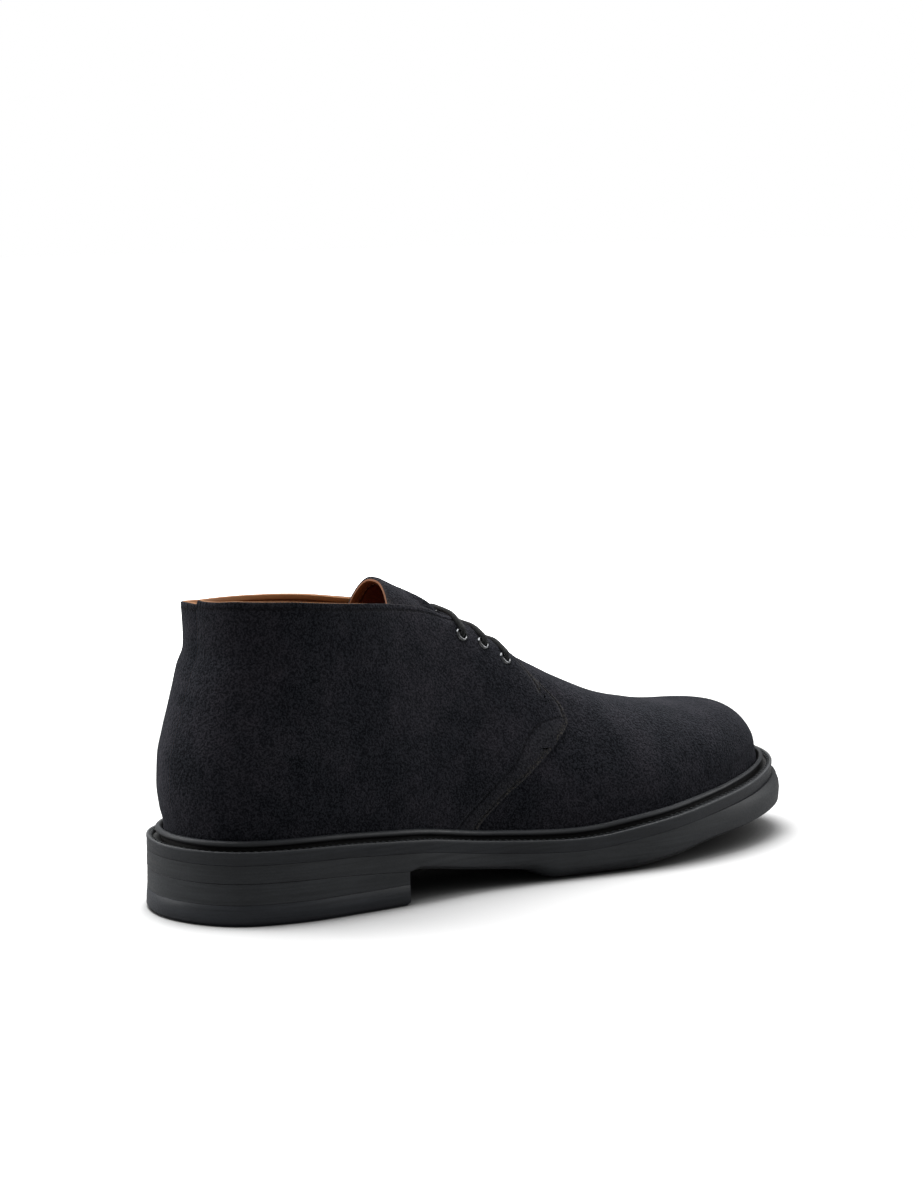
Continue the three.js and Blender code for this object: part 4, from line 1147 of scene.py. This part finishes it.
def toe_flare(x):
    return 3.4 * smooth_step(x, TOE_AXIS - 40, SHOE_LENGTH - 10)


def sole_bevel(x):
    """The rounded lower edge: square on the heel, and fullest where the ball is worn."""
    worn = 1.6 * smooth_step(x, 138, 160) * (1 - smooth_step(x, 226, 270))
    return blend(0.12, SOLE_BEVEL, smooth_step(x, HEEL_LENGTH - 1, HEEL_LENGTH + 6)) + worn


def tread_sink(x):
    return TREAD_DEPTH * smooth_step(x, TREAD_START, TREAD_START + 0.6)


sole_rubber = rubber_material("outsole_rubber", OUTSOLE_DARK, OUTSOLE_LIGHT)
outsole = ring_piece("outsole_unit", [
    (None, lambda x: underside(x) + tread_sink(x)),
    (same(TREAD_RIM + TREAD_CORNER), lambda x: underside(x) + tread_sink(x)),
    (same(TREAD_RIM), lambda x: underside(x) + tread_sink(x) * 0.7),
    (same(TREAD_RIM - TREAD_CORNER), underside),
    (lambda x: sole_bevel(x) * 2.4 - toe_flare(x) * 0.4, underside),
    (lambda x: sole_bevel(x) * 1.6 - toe_flare(x) * 0.5,
     lambda x: underside(x) + sole_bevel(x) * 0.1),
    (lambda x: sole_bevel(x) * 0.9 - toe_flare(x) * 0.7,
     lambda x: underside(x) + sole_bevel(x) * 0.35),
    (lambda x: sole_bevel(x) * 0.15 - toe_flare(x), lambda x: underside(x) + sole_bevel(x)),
    (lambda x: -toe_flare(x), lambda x: blend(underside(x), sole_top(x), 0.45)),
    (lambda x: 0.05 - toe_flare(x) * 0.95, lambda x: blend(underside(x), sole_top(x), 0.62)),
    (lambda x: 0.05 - toe_flare(x) * 0.6, lambda x: sole_top(x) - 1.3),
    (lambda x: 0.05 - toe_flare(x) * 0.3, lambda x: sole_top(x) - 0.3),
    (lambda x: 0.06 - toe_flare(x) * 0.25, lambda x: sole_top(x) - 0.08),
    (same(0.2), sole_top),
    (same(1.2), sole_top),
    (None, sole_top),
], sole_rubber)
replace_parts(outsole, "outsole")

FOREFOOT_STUDS = (
    (178, (-30, -10, 11, 31)), (196, (-32, -11, 11, 33)), (214, (-32, -10, 12, 34)),
    (232, (-28, -8, 13, 33)), (250, (-21, 3, 27)), (268, (-10, 11)),
)
HEEL_STUDS = ((22, (-12, 12)), (42, (-20, 0, 20)), (62, (-20, 0, 20)))


def studs(name, rows, floor_at, sink):
    """Round studs standing in the sunk tread, their ends level with the rim."""
    bm = bmesh.new()
    for x, places in rows:
        for y in places:
            low = float(floor_at(np.array(float(x))))
            centre = Vector(in_frame((x, y, low + sink / 2 + 0.2)))
            made = bmesh.ops.create_cone(
                bm, cap_ends=True, cap_tris=False, segments=28,
                radius1=STUD_RADIUS * MILLIMETRE * 0.94, radius2=STUD_RADIUS * MILLIMETRE,
                depth=(sink + 0.4) * MILLIMETRE, matrix=Matrix.Translation(centre))
            rim = [edge for vert in made["verts"] for edge in vert.link_edges
                   if abs(edge.verts[0].co.z - edge.verts[1].co.z) < 1e-7
                   and edge.verts[0].co.z < centre.z]
            bmesh.ops.bevel(bm, geom=list(set(rim)), offset=0.0004, segments=2, profile=0.5,
                            affect="EDGES", material=-1)
    return finished(name, bm, sole_rubber, smooth=False)


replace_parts(studs("forefoot_studs", FOREFOOT_STUDS, underside, TREAD_DEPTH), "outsole")


# ---------------------------------------------------------------------------- the heel
# Two layers nailed under the outsole: a lift wedged to its slope, and a top piece that
# meets the floor. Both are cut straight across at the breast.
SEAM_HEIGHT = 8.2
LIFT_DARK = (0.0170, 0.0195, 0.0226, 1)
LIFT_LIGHT = (0.0350, 0.0390, 0.0435, 1)
TOP_PIECE_DARK = (0.0135, 0.0160, 0.0205, 1)
TOP_PIECE_LIGHT = (0.0290, 0.0330, 0.0405, 1)
CORNER_STEPS = 24  # points across the breast
HEEL_MIDDLE = (44.0, 0.0)
heel_start = int(np.argmax(welt_plan[:, 0] > HEEL_LENGTH))


def heel_ring(distance, height, breast=0.0):
    """The heel's plan, inset on its round side and by its own amount at the breast."""
    moved = inset(welt_plan, distance)
    moved = np.roll(moved, -heel_start, 0)[np.roll(welt_plan, -heel_start, 0)[:, 0]
                                            <= HEEL_LENGTH]
    end = HEEL_LENGTH - breast
    first, last = moved[0].copy(), moved[-1].copy()
    first[0] = last[0] = end
    moved = np.concatenate([[first], moved[moved[:, 0] < end - 0.2], [last]])
    run = np.concatenate([[0], np.cumsum(np.linalg.norm(np.diff(moved, axis=0), axis=1))])
    even = np.linspace(0, run[-1], 200)
    round_side = np.stack([np.interp(even, run, moved[:, k]) for k in (0, 1)], -1)
    across = np.linspace(round_side[-1], round_side[0], CORNER_STEPS)[1:-1]
    ring = np.concatenate([round_side, across])
    return np.concatenate([ring, height(ring[:, 0])[:, None]], 1)


def heel_body(name, levels, material, node):
    rings = [heel_ring(distance, height, breast) for distance, height, breast in levels]
    caps = []
    for ring in (rings[0], rings[-1]):
        cap = ring.copy()
        cap[:, :2] = HEEL_MIDDLE
        cap[:, 2] = ring[:, 2].mean()
        caps.append(cap)
    rings = np.array([caps[0], *rings, caps[1]])

    def place(column, row):
        return rings[row, column % rings.shape[1]]

    piece = grid_piece(name, rings.shape[1] + 1, len(rings), place, material)
    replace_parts(piece, node)


def lift_top(x):
    return underside(x) - 0.05


heel_body("heel_lift_layer", [
    (1.2, same(SEAM_HEIGHT + 0.05), 1.0),
    (0.16, same(SEAM_HEIGHT + 0.05), 0.0),
    (0.06, same(SEAM_HEIGHT + 0.15), 0.0),
    (0.12, lambda x: blend(SEAM_HEIGHT + 0.2, lift_top(x) - 0.2, 0.5), 0.0),
    (0.14, lambda x: lift_top(x) - 0.14, 0.0),
    (0.24, lambda x: lift_top(x) - 0.02, 0.0),
    (1.2, lift_top, 1.0),
], rubber_material("lift_rubber", LIFT_DARK, LIFT_LIGHT), "heel_lift")
heel_body("heel_top_layer", [
    (TREAD_RIM + TREAD_CORNER, same(TREAD_DEPTH), TREAD_RIM + TREAD_CORNER),
    (TREAD_RIM, same(TREAD_DEPTH * 0.7), TREAD_RIM),
    (TREAD_RIM - TREAD_CORNER, same(0), TREAD_RIM - TREAD_CORNER),
    (1.3, same(0), 0.6),
    (-0.2, same(1.3), 0.0),
    (-0.3, same(1.5), 0.0),
    (-0.25, same(SEAM_HEIGHT * 0.6), 0.0),
    (0.02, same(SEAM_HEIGHT - 0.14), 0.0),
    (0.12, same(SEAM_HEIGHT - 0.02), 0.0),
    (1.0, same(SEAM_HEIGHT), 1.0),
], rubber_material("top_piece_rubber", TOP_PIECE_DARK, TOP_PIECE_LIGHT), "heel_top_piece")
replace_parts(studs("heel_studs", HEEL_STUDS, same(0), TREAD_DEPTH), "heel_top_piece")


# ---------------------------------------------------------------------------- the eyelets
# Dark-plated brass eyelets, three in each facing, set through the suede and the lining and
# rolled over on the outside.
METAL_DARK = (0.10, 0.105, 0.11, 1)
METAL_LIGHT = (0.22, 0.22, 0.225, 1)
EYELET_SECTION = (  # radius and height over the suede, round the rolled rim
    (1.75, -2.5), (1.75, 0.0), (1.85, 0.55), (2.15, 0.85), (2.5, 0.8), (2.8, 0.5), (2.9, 0.1),
    (2.7, -0.05), (2.15, -0.05), (2.15, -2.5),
)


def metal_material():
    material, tree, shader, place = new_material("plated_brass")
    worn = add_noise(tree, place, 700, 3, 0.6)
    colour = add_mix(tree, add_range(tree, worn, 0.4, 0.7), METAL_DARK, METAL_LIGHT)
    tree.links.new(colour, shader.inputs["Base Color"])
    shader.inputs["Metallic"].default_value = 1.0
    tree.links.new(add_range(tree, worn, 0.3, 0.8, 0.16, 0.34), shader.inputs["Roughness"])
    return material


plated_brass = metal_material()


def turned_to(normal, point):
    """A transform that stands a shape's Z along a normal at a point."""
    up = Vector(normal)
    turn = up.to_track_quat("Z", "Y").to_matrix().to_4x4()
    return Matrix.Translation(Vector(in_frame(point))) @ turn


def eyelet(side, pair):
    x, reach = EYELETS[pair]
    point, normal = crest_point(np.array([x]), np.array([reach]), side)
    bm = bmesh.new()
    ring = [bm.verts.new((radius * MILLIMETRE, 0, height * MILLIMETRE))
            for radius, height in EYELET_SECTION]
    edges = [bm.edges.new((a, b)) for a, b in zip(ring, ring[1:] + ring[:1])]
    bmesh.ops.spin(bm, geom=ring + edges, cent=(0, 0, 0), axis=(0, 0, 1), dvec=(0, 0, 0),
                   angle=math.tau, steps=40, use_merge=True)
    bmesh.ops.recalc_face_normals(bm, faces=bm.faces)
    bmesh.ops.transform(bm, matrix=turned_to(normal[0], point[0]), verts=bm.verts)
    label = "lateral" if side < 0 else "medial"
    piece = finished(f"rolled_eyelet_{label}_{pair + 1}", bm, plated_brass)
    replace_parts(piece, f"eyelet_{label}_{pair + 1}")
    return point[0], normal[0]


eyelet_places = {(side, pair): eyelet(side, pair)
                 for side in (LATERAL, MEDIAL) for pair in range(len(EYELETS))}


# ---------------------------------------------------------------------------- the lace
# A round waxed lace in three straight bars. Each bar comes up through an eyelet, crosses
# both facings and goes down through the other. Its ends are tucked under the facings.
LACE_RADIUS = 1.05
LACE_DARK = (0.004, 0.005, 0.0052, 1)
LACE_LIGHT = (0.014, 0.0165, 0.0172, 1)
LACE_STEPS, LACE_SIDES = 90, 14
LACE_CLIMB = ((0, -2.2), (0, 0.4), (0.7, 1.4), (2.4, 1.55))  # inwards and up at the eyelet
LACE_REST = ((12.6, 0.25), (10.5, -0.5), (8.3, -1.4), (5, -2.3))  # out from the crest, and up
LACE_CROWN = -2.5


def lace_material():
    """Braided cord: fine slanting strands that follow the lace."""
    material, tree, shader, _ = new_material("braided_lace")
    run = tree.nodes.new("ShaderNodeUVMap")
    run.uv_map = "UVMap"
    turned = tree.nodes.new("ShaderNodeMapping")
    turned.inputs["Scale"].default_value = (26, 5, 1)
    turned.inputs["Rotation"].default_value = (0, 0, math.radians(38))
    tree.links.new(run.outputs["UV"], turned.inputs["Vector"])
    strands = tree.nodes.new("ShaderNodeTexWave")
    strands.inputs["Scale"].default_value = 2.2
    strands.inputs["Distortion"].default_value = 0.6
    tree.links.new(turned.outputs["Vector"], strands.inputs["Vector"])
    colour = add_mix(tree, strands.outputs["Fac"], LACE_DARK, LACE_LIGHT)
    tree.links.new(colour, shader.inputs["Base Color"])
    shader.inputs["Roughness"].default_value = 0.75
    shader.inputs["Sheen Weight"].default_value = 0.05
    tree.links.new(add_bump(tree, strands.outputs["Fac"], 0.0002, 0.8), shader.inputs["Normal"])
    return material


braided_lace = lace_material()


def smooth_path(points, steps):
    """A curve through a few given points, evenly spaced."""
    points = np.array(points, float)
    padded = np.concatenate([[2 * points[0] - points[1]], points, [2 * points[-1] - points[-2]]])
    found = []
    for p0, p1, p2, p3 in zip(padded, padded[1:], padded[2:], padded[3:]):
        for t in np.arange(12) / 12:
            found.append(0.5 * (2 * p1 + (p2 - p0) * t + (2 * p0 - 5 * p1 + 4 * p2 - p3) * t ** 2
                                + (3 * p1 - p0 - 3 * p2 + p3) * t ** 3))
    found = np.array(found + [points[-1]])
    run = np.concatenate([[0], np.cumsum(np.linalg.norm(np.diff(found, axis=0), axis=1))])
    even = np.linspace(0, run[-1], steps)
    return np.stack([np.interp(even, run, found[:, k]) for k in range(3)], -1)


def cord_tube(name, path, radius, sides, material):
    """A round cord along a path, with its frame carried along without a twist."""
    tangent = np.gradient(path, axis=0)
    tangent /= np.linalg.norm(tangent, axis=1)[:, None]
    across = np.cross(tangent[0], (1.0, 0.0, 0.0))
    sides_of = []
    for direction in tangent:
        across = across - direction * (across @ direction)
        across /= np.linalg.norm(across)
        sides_of.append((across, np.cross(direction, across)))

    def place(column, row):
        angle = row / sides * math.tau
        left = np.array([sides_of[c][0] for c in column])
        up = np.array([sides_of[c][1] for c in column])
        ring = left * np.cos(angle)[:, None] + up * np.sin(angle)[:, None]
        return path[column] + ring * radius

    return grid_piece(name, len(path), sides + 1, place, material)


def lace_bar(pair):
    x, _ = EYELETS[pair]

    def climb(side, inward, height):
        point, normal = eyelet_places[(side, pair)]
        ahead = np.cross((1.0, 0.0, 0.0), normal)
        return point + normal * height + ahead / np.linalg.norm(ahead) * side * inward

    def rest(side, reach, lift):
        point, normal = crest_point(np.array([x]), np.array([reach]), side)
        return point[0] + normal[0] * lift

    def half(side):
        return ([climb(side, inward, height) for inward, height in LACE_CLIMB]
                + [rest(side, reach, lift) for reach, lift in LACE_REST])

    crown = rest(LATERAL, 0.1, LACE_CROWN)
    crown[1] = drift(x)
    path = smooth_path(half(LATERAL) + [crown] + half(MEDIAL)[::-1], LACE_STEPS)
    piece = cord_tube(f"lace_{pair + 1}", path, LACE_RADIUS, LACE_SIDES, braided_lace)
    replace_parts(piece, f"lace_bar_{pair + 1}")


for pair in range(len(EYELETS)):
    lace_bar(pair)


# ---------------------------------------------------------------------------- the stitches
# Bonded thread, about ten stitches to the inch on the upper and nine on the welt. Each
# stitch is a short rod that dips into the leather at both ends.
UPPER_STITCH = (2.5, 1.9, 0.5)  # spacing, length and width
LINING_STITCH = (2.4, 1.8, 0.55)
WELT_STITCH = (2.9, 2.3, 0.9)
THREAD_DARK = (0.0050, 0.0050, 0.0065, 1)
THREAD_BROWN = (0.30, 0.135, 0.05, 1)
THREAD_WELT = (0.030, 0.034, 0.036, 1)


def thread_material(name, colour, sheen=0.15):
    material, tree, shader, place = new_material(name)
    twist = add_noise(tree, place, 2500, 2, 0.6)
    shade = tuple(value * 0.55 for value in colour[:3]) + (1,)
    tree.links.new(add_mix(tree, twist, shade, colour), shader.inputs["Base Color"])
    shader.inputs["Roughness"].default_value = 0.8
    shader.inputs["Specular IOR Level"].default_value = 0.15
    shader.inputs["Sheen Weight"].default_value = sheen
    return material


def stitch_row(bm, points, normals, pitch, length, width, sink=0.1):
    """Adds a row of stitches to a bmesh, spaced along a line on the surface."""
    steps = np.linalg.norm(np.diff(points, axis=0), axis=1)
    run = np.concatenate([[0], np.cumsum(steps)])
    count = max(int(run[-1] / pitch), 1)
    for k in range(count):
        middle = (k + 0.5) * run[-1] / count
        ends = [np.array([np.interp(middle + half, run, points[:, axis]) for axis in range(3)])
                for half in (-length / 2, length / 2)]
        normal = np.array([np.interp(middle, run, normals[:, axis]) for axis in range(3)])
        ahead = ends[1] - ends[0]
        ahead /= np.linalg.norm(ahead)
        normal -= ahead * (normal @ ahead)
        normal /= np.linalg.norm(normal)
        beside = np.cross(normal, ahead)
        centre = (ends[0] + ends[1]) / 2 - normal * sink
        turn = Matrix((
            (ahead[0] * length / 2, beside[0] * width / 2, normal[0] * width / 2, 0),
            (ahead[1] * length / 2, beside[1] * width / 2, normal[1] * width / 2, 0),
            (ahead[2] * length / 2, beside[2] * width / 2, normal[2] * width / 2, 0),
            (0, 0, 0, 1))) * MILLIMETRE
        turn.translation = Vector(in_frame(centre))
        turn[3][3] = 1
        bmesh.ops.create_icosphere(bm, subdivisions=1, radius=1, matrix=turn)


def upper_stitches():
    bm = bmesh.new()
    for side in (LATERAL, MEDIAL):
        skin = skins[side]
        ways = np.arange(-HEEL_RUN, 119, 1.0)
        up = skin.edge(ways) - COLLAR_STITCH_IN
        points, normals = on_boot(side, ways, up)
        stitch_row(bm, points, normals, *UPPER_STITCH)
        climb = np.linspace(0.02, 1, 90)
        rows = front_ways(side, lambda way: (skin.edge(way) - COLLAR_STITCH_IN) * climb)
        ways = rows - QUARTER_STITCH_IN
        points, normals = on_boot(side, ways, (skin.edge(ways) - COLLAR_STITCH_IN) * climb, -0.3)
        stitch_row(bm, points, normals, *UPPER_STITCH)
        ways, up = flap_line(side)
        points, normals = on_boot(side, ways, up, -0.15)
        stitch_row(bm, points, normals, *UPPER_STITCH)
    return finished("upper_stitches", bm, thread_material("dark_thread", THREAD_DARK, 0.03))


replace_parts(upper_stitches(), "upper")


def tongue_row(bm, spine, across):
    """A row of stitches on the tongue's lining."""
    top, down = (tongue_point(spine, across, np.full(len(spine), TONGUE_THICK + under))
                 for under in (0, 1))
    inward = (down - top) / np.linalg.norm(down - top, axis=1)[:, None]
    stitch_row(bm, top, inward, *LINING_STITCH)


def lining_stitches():
    bm = bmesh.new()
    for side in (LATERAL, MEDIAL):
        ways = np.arange(-HEEL_RUN, 118, 1.0)
        for down in LINING_STITCH_ROWS:
            up = skins[side].edge(ways) - down
            points, normals = on_boot(side, ways, up, LINING_DEPTH)
            stitch_row(bm, points, -normals, *LINING_STITCH)
    top_row = np.linspace(-TONGUE_STITCH_AT, TONGUE_STITCH_AT, 80)
    start = TONGUE_STITCH_IN / TONGUE_LENGTH
    tongue_row(bm, np.full(80, start), top_row)
    for sign in (-1, 1):
        tongue_row(bm, np.linspace(start, 0.6, 60), np.full(60, sign * TONGUE_STITCH_AT))
    return finished("lining_stitches", bm, thread_material("brown_thread", THREAD_BROWN))


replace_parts(lining_stitches(), "upper")


def welt_stitches():
    bm = bmesh.new()
    ring = inset(welt_plan, welt_width(welt_plan[:, 0]) - 4.55)
    points = np.concatenate([ring, (flange_top(ring[:, 0]) - 0.3)[:, None]], 1)
    points = np.concatenate([points, points[:1]])
    normals = np.tile((0.0, 0.0, 1.0), (len(points), 1))
    stitch_row(bm, points, normals, *WELT_STITCH)
    return finished("welt_stitches", bm, thread_material("welt_thread", THREAD_WELT, 0.05))


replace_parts(welt_stitches(), "welt")


# ---------------------------------------------------------------------------- the studio
# A plain white floor with a painted contact shadow, under broad soft lights, and the camera.
FLOOR_WHITE = 0.94
FLOOR_BOUNCE = 0.30


def white_floor():
    """A floor that the eye sees white, lit up far away, throwing back little light, with a painted
    contact shadow.
    """
    material, tree, shader, place = new_material("white_floor")
    tree.nodes.remove(shader)
    seen, bounced = (tree.nodes.new("ShaderNodeBsdfDiffuse") for _ in range(2))
    # Painted shadow: the floor's colour darkens by ambient occlusion where the boot stands close
    # over it.
    painted_contact_shadow = tree.nodes.new("ShaderNodeAmbientOcclusion")
    painted_contact_shadow.samples = 16
    painted_contact_shadow.inputs["Distance"].default_value = 0.03
    shade = add_range(tree, painted_contact_shadow.outputs["AO"], 0.2, 0.8, 0.12, FLOOR_WHITE)
    tree.links.new(shade, seen.inputs["Color"])
    bounced.inputs["Color"].default_value = (FLOOR_BOUNCE, FLOOR_BOUNCE, FLOOR_BOUNCE, 1)
    length = tree.nodes.new("ShaderNodeVectorMath")
    length.operation = "LENGTH"
    tree.links.new(place, length.inputs[0])
    glow = tree.nodes.new("ShaderNodeEmission")
    tree.links.new(add_range(tree, length.outputs["Value"], 0.28, 0.7), glow.inputs["Strength"])
    lit = tree.nodes.new("ShaderNodeAddShader")
    tree.links.new(seen.outputs[0], lit.inputs[0])
    tree.links.new(glow.outputs[0], lit.inputs[1])
    path = tree.nodes.new("ShaderNodeLightPath")
    mixed = tree.nodes.new("ShaderNodeMixShader")
    tree.links.new(path.outputs["Is Camera Ray"], mixed.inputs[0])
    tree.links.new(bounced.outputs[0], mixed.inputs[1])
    tree.links.new(lit.outputs[0], mixed.inputs[2])
    tree.links.new(mixed.outputs[0], tree.nodes["Material Output"].inputs["Surface"])
    bm = bmesh.new()
    bmesh.ops.create_grid(bm, x_segments=1, y_segments=1, size=6.0)
    mesh = bpy.data.meshes.new("floor")
    bm.to_mesh(mesh)
    bm.free()
    mesh.materials.append(material)
    plane = bpy.data.objects.new("floor", mesh)
    bpy.context.scene.collection.objects.link(plane)


def white_walls(strength):
    """A white room that lights the boot softly from all round."""
    world = bpy.data.worlds.new("studio")
    world.use_nodes = True
    tree = world.node_tree
    seen = tree.nodes["Background"]
    seen.inputs["Color"].default_value = (1, 1, 1, 1)
    lighting = tree.nodes.new("ShaderNodeBackground")
    lighting.inputs["Color"].default_value = (1, 1, 1, 1)
    lighting.inputs["Strength"].default_value = strength
    path = tree.nodes.new("ShaderNodeLightPath")
    mixed = tree.nodes.new("ShaderNodeMixShader")
    tree.links.new(path.outputs["Is Camera Ray"], mixed.inputs[0])
    tree.links.new(lighting.outputs[0], mixed.inputs[1])
    tree.links.new(seen.outputs[0], mixed.inputs[2])
    tree.links.new(mixed.outputs[0], tree.nodes["World Output"].inputs["Surface"])
    bpy.context.scene.world = world


def area_light(name, place, aim, size, power):
    light = bpy.data.lights.new(name, "AREA")
    light.shape = "RECTANGLE"
    light.size, light.size_y = size
    light.energy = power
    lamp = bpy.data.objects.new(name, light)
    lamp.location = place
    lamp.rotation_euler = (Vector(aim) - Vector(place)).to_track_quat("-Z", "Y").to_euler()
    bpy.context.scene.collection.objects.link(lamp)


white_floor()
white_walls(0.25)
area_light("overhead", (0.0, 0.55, 1.30), (0, 0, 0), (1.5, 1.3), 33)
area_light("toe_side", (1.05, -0.55, 0.55), (0.1, 0, 0.05), (0.8, 0.7), 6)
area_light("heel_side", (-0.85, 0.75, 0.45), (-0.1, 0, 0.06), (0.6, 0.6), 5)

CAMERA_PLACE = (-639.0, -1010.0, 292.0)
CAMERA_HEADING = 37.75
CAMERA_DIP = 8.15
CAMERA_LENS = 96.57
camera_data = bpy.data.cameras.new("camera")
camera_data.sensor_width = 36.0
camera_data.lens = CAMERA_LENS
camera_data.clip_start = 0.05
camera_data.clip_end = 30.0
camera = bpy.data.objects.new("camera", camera_data)
camera.location = in_frame(CAMERA_PLACE)
camera.rotation_euler = (math.radians(90 - CAMERA_DIP), 0, math.radians(-CAMERA_HEADING))
bpy.context.scene.collection.objects.link(camera)
bpy.context.scene.camera = camera
bpy.context.scene.view_settings.view_transform = "Standard"
